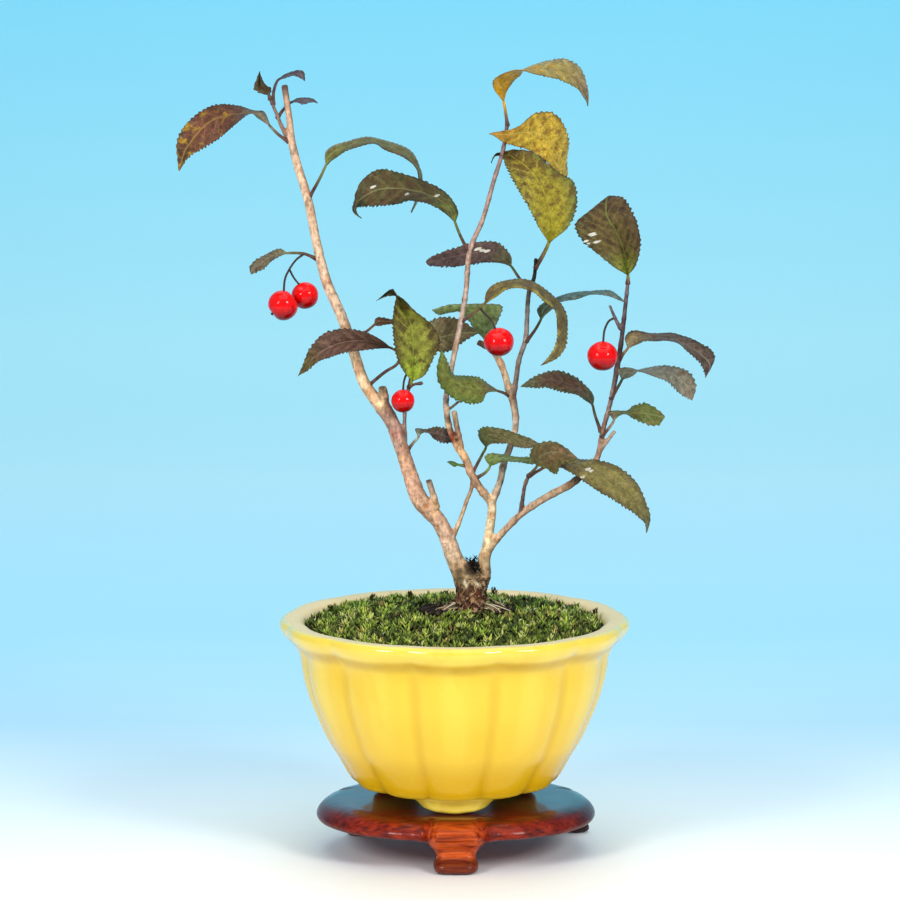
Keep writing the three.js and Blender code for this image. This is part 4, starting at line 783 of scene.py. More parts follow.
# Painted shadow: a darker band under the rolled lip that follows its wave.
waved = up + (lobe_fill - 0.75) * (2 * LIP_WAVE)
painted_lip_shadow = glaze.step(waved, 75.8, 79.4) * glaze.step(waved, 82.6, 80.0)
body = glaze.mix(body, colour("be8c04"), painted_lip_shadow * (0.3 + streak * 0.5))
lip = glaze.step(up, 80, 83)
cream = glaze.step(glaze.read("inside"), 0.3, 0.7)
body = glaze.mix(body, colour("e4cda2"), cream * 0.9)
glaze.paint(body, 0.16 + speck * 0.14 + cream * 0.3, [(speck, 0.05), (streak, 0.12)],
            Coat_Weight=0.28 + lip * 0.7 - cream * 0.9)
place("bowl_glazed", pot.mesh(), glaze.material, "glaze", "pot")

# %% [markdown]
# Under the moss lie baked-clay soil and a plastic net over the drain hole. They could be built grain by grain
# and thread by thread, but hardly any view shows them. So their solids stay and only get a finish.

# %% The drain net and the soil keep their solids
net = Finish("drain_net_plastic", Specular_IOR_Level=0.4)
weave = net.step(net.cells(1.2), 0.2, 0.5)
net.paint(net.mix(colour("0c0d0d"), colour("2c2e2d"), weave), 0.45 + weave * 0.2, [(weave, 0.2)])

soil = Finish("akadama_soil", Specular_IOR_Level=0.2)
crumb = soil.cells(1.7)
grit = soil.noise(0.6, detail=5, rough=0.7)
earth = soil.ramp(soil.noise(3.5, detail=4), (0.3, "120d09"), (0.5, "241a12"), (0.62, "3a2a1c"),
                  (0.78, "57402b"))
soil.paint(soil.mix(earth, colour("0a0705"), soil.step(crumb, 0.45, 0.75)), 0.85 + grit * 0.1,
           [(crumb, 0.6), (grit, 0.15)])
for node, material in (("drain_net", net.material), ("soil", soil.material)):
    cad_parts[node].data.materials.clear()
    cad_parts[node].data.materials.append(material)
print("net and soil are painted")

# %% [markdown]
# ## Moss
# The moss is a living carpet of star-shaped shoots, each a few millimetres tall, over old brown growth. It
# swells into cushions, sinks towards the rim and stops at the bare hollow round the trunk. Hair particles
# would be the usual way, but they are lost in the exported model. So every shoot is real geometry with very
# few faces: twelve keeled blades of four triangles each, turned by the golden angle as in the living plant.

# %% Smooth bumps by chance


def ripples(points, size, seed, waves=9):
    """A smooth field of about -1 to 1: the sum of waves in random directions, with lengths about size mm."""
    rng = np.random.default_rng(seed)
    directions = rng.normal(size=(waves, points.shape[-1]))
    directions /= np.linalg.norm(directions, axis=1, keepdims=True)
    lengths = size * rng.uniform(0.7, 1.6, waves)
    phases = rng.uniform(0, 2 * np.pi, waves)
    return np.sin(points @ (directions / lengths[:, None]).T * 2 * np.pi + phases).sum(-1) * (1.6 / waves)


print("bumps at three places:", np.round(ripples(np.array([[0, 0], [3, 1], [6, 2]]), 12, 3), 2))

# %% The carpet under the shoots
MOSS_BOTTOM = 84.7
MOSS_EDGE = 86.6
MOSS_CROWN = 89.8
MOSS_WALL = 55.3
HOLLOW = np.array([AXIS_X + 4.2, 9.6])
HOLLOW_HALF = np.array([17.0, 11.5])
SHOOT_TALL = 4.3
TRUNK_X = 9.3


def wall_radius(angle):
    """The radius of the moss against the bowl's wall: a little less at each groove."""
    return MOSS_WALL - 0.9 * (1 - bulge(angle))


def moss_reach(x, y):
    """0 at the hollow's lip and 1 at the bowl's wall, by the distances to both, and that to the wall."""
    from_hollow = (np.hypot((x - HOLLOW[0]) / HOLLOW_HALF[0], (y - HOLLOW[1]) / HOLLOW_HALF[1]) - 1) * 14
    angle = np.arctan2(x - AXIS_X, -y)
    from_wall = wall_radius(angle) - np.hypot(x - AXIS_X, y)
    return from_hollow / np.maximum(from_hollow + from_wall, 1e-6), from_wall


def moss_top(x, y):
    """The height of the shoots' tips: a dome that falls to the rim and the hollow, with cushions on it."""
    reach, from_wall = moss_reach(x, y)
    reach = np.clip(reach, 0, 1)
    flat = np.stack([x, y], -1)
    cushions = 1.5 * ripples(flat, 12, 3) + 1.5 * ripples(flat, 5.5, 4)
    behind = 0.4 * smooth_step((y + 5) / 45)
    dome = MOSS_CROWN + (MOSS_EDGE - MOSS_CROWN) * reach ** 2.2
    before = smooth_step((4 - y) / 5) * smooth_step((9 - np.abs(x - TRUNK_X)) / 3)
    at_hollow = (1 - smooth_step(reach / 0.2)) * (3.0 * before - 1.8)
    return dome + behind + cushions * (1 - reach ** 6) + at_hollow + 0.2


turn = full_turn(300)
inner = 1 / np.hypot(np.sin(turn) / HOLLOW_HALF[0], np.cos(turn) / HOLLOW_HALF[1])
lip = round_axis(HOLLOW[0], turn, inner, 0)
lip[:, 1] += HOLLOW[1]
wall = round_axis(AXIS_X, turn, wall_radius(turn), 0)
top = lip + (wall - lip) * np.linspace(0, 1, 50)[:, None, None]
top[..., 2] = np.maximum(moss_top(top[..., 0], top[..., 1]) - SHOOT_TALL * 0.9, MOSS_BOTTOM + 0.1)
under = top[[-1, 0]]
under[..., 2] = MOSS_BOTTOM
carpet = Clay("moss_carpet")
carpet.grid(np.concatenate([top, under]), wrap_rows=True, wrap_columns=True)

peat = Finish("moss_floor", Specular_IOR_Level=0.15)
peat_noise = peat.noise(1.4, detail=5, rough=0.7)
peat_colour = peat.ramp(peat_noise, (0.3, "0e1105"), (0.5, "1f260b"), (0.62, "333d12"), (0.78, "4d4a1f"))
peat.paint(peat_colour, 0.9 + peat_noise * 0.08, [(peat_noise, 0.7)])
place("moss_carpet", carpet.mesh(), peat.material, "moss", "moss")

# %% A blade of four faces


def blades(roots, axes, azimuth, climb, offset, length, width):
    """Keeled blades (n, 4, 3): the base, the two widest points raised off the line, and the tip."""
    across = np.cross(axes, np.array([0.31, 0.95, 0.05]))
    across /= np.linalg.norm(across, axis=-1, keepdims=True)
    other = np.cross(axes, across)
    flat = across * np.cos(azimuth)[..., None] + other * np.sin(azimuth)[..., None]
    along = flat * np.cos(climb)[..., None] + axes * np.sin(climb)[..., None]
    side = np.cross(along, axes)
    side /= np.maximum(np.linalg.norm(side, axis=-1, keepdims=True), 1e-6)
    raised = np.cross(side, along)
    base = roots + axes * offset[..., None]
    middle = base + along * (length * 0.42)[..., None] + raised * (length * 0.13)[..., None]
    half = side * (width / 2)[..., None]
    return np.stack([base, middle + half, middle - half, base + along * length[..., None]], -2)


NO_QUADS = np.zeros((0, 4), int)
BLADE_FACES = np.array([[0, 1, 2], [1, 3, 2], [0, 3, 1], [0, 2, 3]])


def add_blades(clay, corners, tints):
    """Adds many blades at once, turned outwards one by one, with a tint for each blade or each corner."""
    if tints.ndim == 2:
        tints = np.repeat(tints[:, None], 4, 1)
    corners = corners.reshape(-1, 4, 3)
    a, b, c = (corners[:, k] - corners[:, 0] for k in (1, 2, 3))
    inside_out = np.einsum("ij,ij->i", np.cross(a, b), c) > 0
    faces = BLADE_FACES[None] + 4 * np.arange(len(corners))[:, None, None]
    faces[inside_out] = faces[inside_out][..., ::-1]
    clay.add(corners.reshape(-1, 3), NO_QUADS, {"tint": tints.reshape(-1, 4)}, faces.reshape(-1, 3))


print("a blade has", len(BLADE_FACES), "faces")

# %% Colours of the shoots


def shoot_tints(roots, rng, shape):
    """A shoot's colour: random patches from dark to yellow-green, a few brown shoots, painted shade in the
    dips and painted light on the cushions' tops.
    """
    flat = roots[:, :2]
    patch = ripples(flat, 13, 11) * 0.4 + ripples(flat, 4.5, 12) * 0.5 + rng.normal(0, 0.5, len(roots))
    scale = colours("232b0e 384415 596722 858f39 c4c182")
    place = np.clip(patch + 1.7, 0, 3.999)
    k = place.astype(int)
    tint = scale[k] + (scale[k + 1] - scale[k]) * (place - k)[:, None]
    brown = rng.random(len(roots)) < 0.07
    tint[brown] = colour("6b5a2c")
    # Painted light and shade: shoots are brighter on the cushions' tops and darker in the dips, with a random
    # spread for each shoot.
    light = np.exp(rng.normal(-0.6, 0.62, len(roots)) + 0.5 * ripples(flat, 12, 3)
                   + 1.25 * ripples(flat, 5.5, 4))
    tint = tint * np.clip(light, 0.03, 3.6)[:, None]
    tint = tint * (1 - smooth_step((roots[:, 1:2] + 10) / 50) * np.array([[0.3, 0.12, 0.1, 0]]))
    # Painted shade at the base of each blade, deep in the moss, and a painted highlight at its tip.
    along = np.array([0.01, 0.17, 0.17, 4.0])[:, None]  # light at the base, the sides and the tip of a blade
    out = tint[:, None, None] * along * np.exp(rng.normal(0, 0.45, shape))[..., None, None]
    out[..., 3] = 1
    return np.minimum(out, 1)


leafy = Finish("moss_shoots", Specular_IOR_Level=0.22)
fleck = leafy.noise(1.1, detail=2)
leafy.paint(leafy.read("tint", "Color") * (fleck * 0.7 + 0.65), 0.45 + fleck * 0.25, [(fleck, 0.1)])
print("the shoots' finish is", leafy.material.name)

# %% Every shoot in its place
BLADES = 12
GOLDEN = math.pi * (3 - math.sqrt(5))
SHOOT_SPACING = 2.5
rng = np.random.default_rng(21)
steps = np.arange(-MOSS_WALL, MOSS_WALL, SHOOT_SPACING)
x, y = (line.ravel() + rng.uniform(-0.5, 0.5, line.size) * SHOOT_SPACING
        for line in np.meshgrid(steps + AXIS_X, steps))
reach, from_wall = moss_reach(x, y)
kept = (reach > 0.0) & (from_wall > 0.5)
x, y, reach, from_wall = x[kept], y[kept], reach[kept], from_wall[kept]
tall = SHOOT_TALL * rng.uniform(0.75, 1.25, len(x)) * np.where(rng.random(len(x)) < 0.05, 1.35, 1)
roots = np.stack([x, y, moss_top(x, y) - tall], -1)
lean = rng.normal(0, 0.22, (len(x), 3))
lean[:, 2] = 1
outward = np.stack([x - AXIS_X, y], -1) / 55
lean[:, :2] += outward * np.clip(1 - from_wall / 9, 0, 1)[:, None] * -0.35
axes = (lean / np.linalg.norm(lean, axis=1, keepdims=True))[:, None]
order = np.arange(BLADES)[None] / BLADES
shape = (len(x), BLADES)
azimuth = np.arange(BLADES)[None] * GOLDEN + rng.uniform(0, 7, (len(x), 1))
climb = np.radians(46 + 38 * order ** 1.1) + rng.normal(0, 0.24, shape)
length = tall[:, None] * (0.9 - 0.3 * order) * rng.uniform(0.7, 1.3, shape)
corners = blades(roots[:, None], axes, azimuth, climb, tall[:, None] * 0.45 * order, length, length * 0.32)
tints = shoot_tints(roots, rng, shape)
halves = np.array_split(np.argsort(x, kind="stable"), math.ceil(len(x) / 4200))
for number, chosen in enumerate(halves, 1):
    shoots = Clay(f"moss_shoots_{number}")
    add_blades(shoots, corners[chosen], tints[chosen])
    place(shoots.name, shoots.mesh(), leafy.material, "moss", "moss")
print(len(x), "shoots")

# %% [markdown]
# A carpet of nothing but shoots looks combed. A real one also has dead straw-coloured blades lying across
# it, a few taller dark sprigs at the rim, and coarse dark grit in the hollow round the trunk. These few odd
# things are scattered by a seeded chance, or set where the picture shows them.

# %% Straw and sprigs
STRAWS = 110
SPRIGS = [  # column and row of the foot, height
    (372, 599, 4.6), (318, 617, 3.6), (331, 609, 3.8), (395, 597, 3.4), (409, 595, 3.6), (445, 594, 3.4),
    (494, 592, 4.2), (558, 604, 3.2), (595, 613, 4.2)]
SPRIG_BLADES = 34


def picked(rng, codes, count):
    """count colours, each drawn by chance from the given ones."""
    choice = colours(codes)
    return choice[rng.integers(0, len(choice), count)]


straws = Clay("moss_litter")
pick = rng.choice(len(x), STRAWS, replace=False)
straw_roots = roots[pick] + [0, 0, SHOOT_TALL * 0.75]
up_axis = np.broadcast_to([0.0, 0.0, 1.0], straw_roots.shape)
straw_length = rng.uniform(1.5, 3.0, STRAWS)
straw_corners = blades(straw_roots, up_axis, rng.uniform(0, 7, STRAWS), rng.uniform(0.1, 1.3, STRAWS),
                       np.zeros(STRAWS), straw_length, np.full(STRAWS, 0.55))
add_blades(straws, straw_corners, picked(rng, "dcd49c b8a868 f2ecc4 94804a", STRAWS))
DEPTHS = np.linspace(-60, 40, 401)[:, None]
rise = np.linspace(0, 1, SPRIG_BLADES)
for column, row, sprig_tall in SPRIGS:
    sight = seen(np.hstack([DEPTHS * 0 + [column, row], DEPTHS]))
    above = np.abs(sight[:, 2] - moss_top(sight[:, 0], sight[:, 1]))
    in_wall = moss_reach(sight[:, 0], sight[:, 1])[1] < 1
    foot_at = sight[np.argmin(above + 9 * in_wall)] - [0, 0, 1.5]
    feet = foot_at + rng.normal(0, 0.5, (SPRIG_BLADES, 3)) * [1, 1, 0.2]
    sprig = blades(feet, np.broadcast_to([0.05, 0.0, 1.0], feet.shape), np.arange(SPRIG_BLADES) * GOLDEN,
                   np.radians(38 + 40 * rise), rise * sprig_tall * 0.6, 2.0 - 0.8 * rise,
                   np.full(SPRIG_BLADES, 0.6))
    add_blades(straws, sprig, picked(rng, "2b3314 4a4a22 3c2c18", SPRIG_BLADES))
place("moss_litter", straws.mesh(), leafy.material, "moss", "moss")

# %% The bare ground in the hollow
MOUND_TOP = 88.7
MOUND_SHARES = np.array([0.02, 0.2, 0.4, 0.6, 0.8, 0.92, 1.02, 1.06, 1.0, 0.5, 0.02])[:, None]
MOUND_UPPER = 7        # how many of the rings lie on top
mound_turn = full_turn(120)
mound_x = HOLLOW[0] + np.sin(mound_turn) * MOUND_SHARES * HOLLOW_HALF[0]
mound_y = HOLLOW[1] - np.cos(mound_turn) * MOUND_SHARES * HOLLOW_HALF[1]


def ground_level(x, y):
    """The bare ground in the hollow: lumpy, and a little higher at the trunk."""
    return MOUND_TOP + 0.4 * ripples(np.stack([x, y], -1), 4.5, 9)


mound_z = ground_level(mound_x, mound_y)
mound_z[MOUND_UPPER:] = MOSS_BOTTOM
mound = Clay("hollow_ground")
mound.solid(np.stack([mound_x, mound_y, mound_z], -1))
place("hollow_ground", mound.mesh(), soil.material, "soil")

# %% Coarse grit
GRAINS = 1500
GRAIN_CORNERS = np.array([[1, 0, 0], [-1, 0, 0], [0, 1, 0], [0, -1, 0], [0, 0, 1], [0, 0, -1]], float)
GRAIN_FACES = np.array([[0, 2, 4], [2, 1, 4], [1, 3, 4], [3, 0, 4],
                        [2, 0, 5], [1, 2, 5], [3, 1, 5], [0, 3, 5]])
spread = np.sqrt(rng.random(GRAINS)) * 1.06
grain_turn = rng.uniform(0, 2 * np.pi, GRAINS)
grain_x = HOLLOW[0] + np.cos(grain_turn) * spread * HOLLOW_HALF[0]
grain_y = HOLLOW[1] + np.sin(grain_turn) * spread * HOLLOW_HALF[1]
grain_size = rng.uniform(0.35, 1.0, GRAINS)
grain_at = np.stack([grain_x, grain_y, ground_level(grain_x, grain_y) + rng.uniform(-0.2, 0.5, GRAINS)], -1)
grain_reach = grain_size[:, None] * rng.uniform(0.6, 1.25, (GRAINS, 6))
lumps = grain_at[:, None] + GRAIN_CORNERS * grain_reach[..., None]
numbered = GRAIN_FACES + 6 * np.arange(GRAINS)[:, None, None]
grit_tints = picked(rng, "0f0b08 1f1710 2e2218 4a3a29 110d0b", GRAINS)
grains = Clay("soil_grit")
grains.add(lumps.reshape(-1, 3), NO_QUADS, {"tint": np.repeat(grit_tints, 6, 0)}, numbered.reshape(-1, 3))
rubble = Finish("soil_grit", Specular_IOR_Level=0.25)
dust = rubble.noise(0.4, detail=3)
rubble.paint(rubble.read("tint", "Color") * (dust + 0.6), 0.7 + dust * 0.25, [(dust, 0.1)])
place("soil_grit", grains.mesh(), rubble.material, "soil")

# %% [markdown]
# ## Trunks and twigs
# The tree is one grown piece: two trunks from one stump, branches, cut stubs and thin surface roots. Each is
# a route of places with a thickness. Tubes round all the routes overlap at the forks, and a fine voxel skin
# joins them as living wood is joined, with soft collars and no seams. Blender's skin modifier could grow the
# same from edges, but it hides the thicknesses, and here each one is read from the picture.
# Each route also carries the colours of its bark from the foot to the tip. After the skin is made, every one
# of its points looks up the nearest place on the routes and takes its colour and roughness from there. Then
# the sides that face a light from the upper left are painted lighter, and those turned away darker, as shade.

# %% Routes of the wood
ROUTES = {  # each place is a column, a row, a depth and a thickness in mm
    "tallStem": [(471, 621, -5, 12), (471, 606, -5, 11.4), (471, 592, -5, 11), (466, 578, -4.4, 9.2),
        (455, 560, -3.4, 6.4), (448, 540, -2.4, 6), (438, 520, -1, 5.8), (429, 510, -0.4, 6.3),
        (420, 500, 0.6, 6.4), (412, 480, 2, 5.7), (405.5, 460, 3, 5.2), (399, 440, 4, 5.3),
        (391, 420, 5, 5.3), (381, 405, 6, 5.7), (372, 395, 6, 4.4), (363, 380, 6, 4.1), (354, 353, 5, 3.9),
        (343, 320, 4, 3.8), (326, 280, 2, 3.7), (316, 240, 0, 3.3), (308, 200, -3, 3.2), (296, 160, -6, 3),
        (291.5, 140, -7, 2.8), (289.5, 120, -8, 2.3), (286.5, 100, -9, 2.3), (284.5, 85, -10, 2.3)],
    "rightTrunk": [(471, 614, -6, 9.6), (471, 602, -6, 9.6), (476, 588, -6.4, 8.2), (484, 575, -6.6, 5),
        (484, 560, -6, 4.6), (488, 545, -5.6, 4.4), (489.5, 530, -5, 3.4), (492, 510, -4.4, 3.2),
        (491, 498, -4.2, 3.6)],
    "crossStem": [(491, 502, -4.2, 3), (480, 488, -3, 2.9), (472, 475, -2, 2.9), (465, 458, -2, 3),
        (457, 445, -2.5, 2.8), (450, 430, -3, 2.3), (447, 415, -3.5, 2.3), (446, 400, -4, 2.1),
        (453, 360, -3, 2), (461, 322, -1.5, 2.1), (466, 290, -1, 1.9), (470, 250, -1, 2),
        (482.5, 220, -1, 1.7), (494, 180, -1.5, 1.6), (503, 150, -2, 1.5), (507.5, 123, -2.5, 1.5)],
    "crossStub": [(461, 447, -2.4, 2.3), (457, 428, -1, 2.1), (454, 411, 0, 2)],
    "centreStem": [(491, 504, -4.2, 3.1), (497, 490, -4.5, 2.6), (500.5, 480, -5, 2.5),
        (504, 463, -5.5, 2.5), (509, 450, -6, 2.4), (514, 435, -6.5, 2.4), (515.8, 420, -7, 2.4),
        (512.5, 397, -7, 2.9)],
    "centreLeftFork": [(512.5, 400, -7, 2.7), (509, 390, -7, 2.7), (505, 375, -6.5, 2.4),
        (500, 362, -6, 2.5), (492, 350, -5, 2.3), (478, 342, -3.5, 2.2)],
    "centreRightFork": [(512.5, 400, -7, 2.4), (516, 380, -8, 1.9), (519, 360, -9, 1.8),
        (525.5, 340, -10, 1.9), (527, 320, -11, 1.7), (528, 300, -12, 1.7), (530, 288, -12, 1.7),
        (534, 278, -12.5, 1.5), (536, 258, -13, 1.2)],
    "rightBranch": [(489, 549, -5.6, 3.2), (495, 541, -5, 2.7), (505, 530, -3.6, 2.5), (520, 515, -2, 2.5),
        (540, 501, 0, 2.7), (560, 490, 1, 2.7), (568, 486, 2, 2.9), (580, 477, 3, 2.4), (590, 466, 4, 2.2),
        (597, 458, 5, 2.2), (603, 430, 8, 1.8), (611, 400, 11, 1.7), (616.5, 372, 14, 2),
        (621.5, 340, 16, 1.7), (626, 300, 18, 1.5), (628, 281, 19, 1.3)],
    "rightStub": [(600, 451, 5.6, 1.7), (607, 441, 7, 1.4), (615, 431, 8, 1.3)],
    "berryTwig": [(620.5, 329, 16.4, 1.6), (615, 318, 17.4, 1.2), (609.5, 305, 18.4, 1)],
    "upTwig": [(520, 516, -2, 1.8), (522.5, 500, 0, 1.5), (525, 485, 2.6, 1.4), (529, 475, 4.4, 1.4)],
    "sideTwig": [(453, 537, -2.2, 2), (460, 520, -2, 1.5), (463.6, 510, -2, 1.5), (467, 500, -2.2, 1.4),
        (471, 490, -2.4, 1.4), (472, 481, -2.4, 1.2)],
    "kneeStub": [(384, 407, 6, 4), (383.5, 396, 7.6, 3.6), (382.5, 387, 8.6, 3)],
    "lowStub": [(437, 508, 0.6, 2.6), (433, 494, 2.4, 2.2), (428.5, 480, 3.8, 2.2)],
    "innerShoot": [(402, 452, 3, 1.8), (405, 440, 3.4, 1.5), (404.5, 420, 3.6, 1.4), (406, 400, 3.8, 1.3),
        (409, 386, 5.6, 1.3), (411, 375, 5.4, 1.2), (412, 367, 5.4, 1.1)],
    "shootKnob": [(409, 388, 5.4, 1.2), (414, 384.5, 6, 1), (423, 383, 6.6, 1.3)],
    "topTwig": [(287, 137, -7.4, 1.8), (281, 125, -7, 1.4), (277, 115, -7, 1.3), (272, 103, -7.6, 1.2),
        (270.4, 99, -8, 1.1)],
    "fallenLeafStalk": [(448, 410, -3.6, 1.1), (454, 405.5, -2.4, 0.95), (459, 401, -1.8, 0.9)],
    "root_1": [(464, 600, -3, 1.2), (455, 603, -4.5, 0.8), (447, 607, -6, 0.65), (441, 611, -7, 0.5)],
    "root_2": [(466, 594, -7, 1.6), (457, 598, -8.4, 1.1), (450, 603, -9.6, 0.9), (444, 607, -10.2, 0.7)],
    "root_3": [(478, 600, -4, 1.2), (488, 603, -5, 0.8), (497, 608, -6.4, 0.65), (505, 612, -7.6, 0.5)],
    "root_4": [(477, 594, -7, 1.6), (488, 598, -8.4, 1.0), (498, 603, -9.6, 0.8), (507, 608, -10.6, 0.7)],
}
print(len(ROUTES), "routes of wood")

# %% Colours of the bark along each route
BARK_TONES = {  # picture row and colour, from the foot upwards
    "tallStem": [(606, "6e4630"), (594, "7c5238"), (584, "8a6848"), (575, "a0835c"), (566, "bd9a76"),
        (552, "dab796"), (536, "d6b093"), (516, "c0967a"), (505, "c59c7c"), (488, "c89a7e"), (468, "c8987a"),
        (450, "b48a72"), (430, "b58d7c"), (412, "9c7865"), (402, "c09c79"), (386, "d4ae86"), (350, "cfb08e"),
        (300, "c4a487"), (200, "c6a284"), (150, "c19d80"), (120, "bf9a7e"), (100, "a5826a"), (88, "604a40")],
    "rightTrunk": [(602, "74492f"), (588, "8a6142"), (576, "a5845e"), (562, "c3a37b"), (546, "dabd93"),
        (528, "e3c89d"), (510, "dec29a"), (498, "cfae88")],
    "crossStem": [(502, "cba882"), (481, "a57f64"), (466, "b48a6d"), (455, "c89d72"), (446, "c99b6e"),
        (439, "7a3d27"), (433, "91563f"), (426, "ceaa84"), (418, "8f6a52"), (412, "cbab8a"), (400, "9b8478"),
        (360, "c0a289"), (320, "b39a89"), (250, "a68878"), (180, "8c7067"), (123, "6e5651")],
    "crossStub": [(447, "b98a63"), (430, "8a6a56"), (411, "b79777")],
    "centreStem": [(504, "d0ae89"), (490, "a8937c"), (463, "978a78"), (446, "6e5f50"), (435, "b59a80"),
        (420, "bda58f"), (400, "967860")],
    "centreLeftFork": [(400, "8f7058"), (390, "a88d70"), (375, "caa884"), (362, "b9926e"), (350, "8f6d56"),
        (342, "5a4437")],
    "centreRightFork": [(400, "7b6251"), (380, "79655c"), (360, "8f7e72"), (340, "9e8e82"), (320, "867b75"),
        (300, "5f5650"), (288, "4a4441"), (278, "211d1d"), (258, "181616")],
    "rightBranch": [(549, "d4b48c"), (530, "bb997b"), (515, "b29074"), (501, "b6967a"), (489, "b79576"),
        (484, "8d6b50"), (478, "41302a"), (466, "6d5445"), (458, "a2826a"), (440, "9e7c66"), (430, "8e6f5c"),
        (400, "87746c"), (372, "6b5551"), (340, "4d4040"), (300, "574a4c"), (281, "83737d")],
    "rightStub": [(451, "9a7a64"), (431, "b89b83")],
    "berryTwig": [(329, "5c4f4e"), (305, "716766")],
    "upTwig": [(516, "6a5448"), (500, "5a4640"), (486, "8c7162"), (475, "6b564a")],
    "sideTwig": [(537, "c7a27b"), (518, "c9a882"), (500, "a68465"), (481, "8a6448")],
    "kneeStub": [(407, "bb936f"), (387, "947a5d")],
    "lowStub": [(508, "c2966b"), (494, "d0aa87"), (480, "8d7566")],
    "innerShoot": [(452, "94715b"), (420, "7f6c62"), (400, "77675e"), (367, "6b5c59")],
    "shootKnob": [(388, "6f5a52"), (383, "5c4a44")],
    "topTwig": [(137, "9b7b69"), (99, "5c4a44")],
    "fallenLeafStalk": [(410, "7d6552"), (401, "6a5648")],
    "root": [(594, "8c6c52"), (601, "c2ab8c"), (612, "dccbaa")],
}
print(len(BARK_TONES), "lists of bark colours")

# %% Tubes round the routes, joined
STATION = 0.5          # mm between two places on a tube
NODE_SPACING = 9.6     # mm between two swellings where leaves have grown
TWIG_HALF = 2.2        # half thickness below which such swellings show
WOOD_SIDES = 16


def route_line(route):
    """Places every half millimetre along a route: points in space, half thicknesses and picture rows."""
    route = np.array(route, float)
    points = seen(route[:, :3])
    t, length = stations(points, STATION, 8)
    knots = t * (len(route) - 1)
    half = np.interp(knots, np.arange(len(route)), route[:, 3]) / 2
    rows = np.interp(knots, np.arange(len(route)), route[:, 1])
    return curve_at(points, t), half, rows, np.linspace(0, length, len(t))


def tone_at(rows, tones):
    """The bark's colour at picture rows: a straight blend between the two tones given around each row."""
    known = np.array([row for row, _ in tones], float)
    order = np.argsort(known)
    light = np.array([colour(code) for _, code in tones])[order]
    return np.stack([np.interp(rows, known[order], light[:, k]) for k in range(4)], -1)


def without_crumbs(mesh):
    """Keeps the one big body of a mesh: each point takes the lowest number among all that it is joined to."""
    edges = np.empty(len(mesh.edges) * 2, np.int32)
    mesh.edges.foreach_get("vertices", edges)
    edges = edges.reshape(-1, 2)
    group, settled = np.arange(len(mesh.vertices)), False
    while not settled:
        lower = group.copy()
        np.minimum.at(lower, edges.ravel(), np.repeat(group[edges].min(1), 2))
        lower = lower[lower]
        settled, group = np.array_equal(lower, group), lower
    crumbs = np.flatnonzero(group != np.bincount(group).argmax())
    work = bmesh.new()
    work.from_mesh(mesh)
    work.verts.ensure_lookup_table()
    bmesh.ops.delete(work, geom=[work.verts[i] for i in crumbs], context="VERTS")
    work.to_mesh(mesh)
    work.free()
    print("left out", len(crumbs), "loose points")
    return mesh


timber = Clay("timber")
lines = []
for name, route in ROUTES.items():
    line, half, rows, along = route_line(route)
    is_root = name.startswith("root")
    if half.max() < TWIG_HALF and not is_root:
        swelling = np.exp(-((along % NODE_SPACING) - NODE_SPACING / 2) ** 2 / 0.5)
        half = half * (1 + 0.17 * swelling)
    timber.solid(tube(line, half + 0.05, WOOD_SIDES))
    lines.append((line, half, rows, tone_at(rows, BARK_TONES["root" if is_root else name])))
line_points, line_half, line_rows, line_tones = (np.concatenate(column) for column in zip(*lines))
wood_mesh = without_crumbs(joined(timber, 0.43, 2, 0.4))
print("joined wood of", len(wood_mesh.polygons), "faces from", len(line_points), "places")

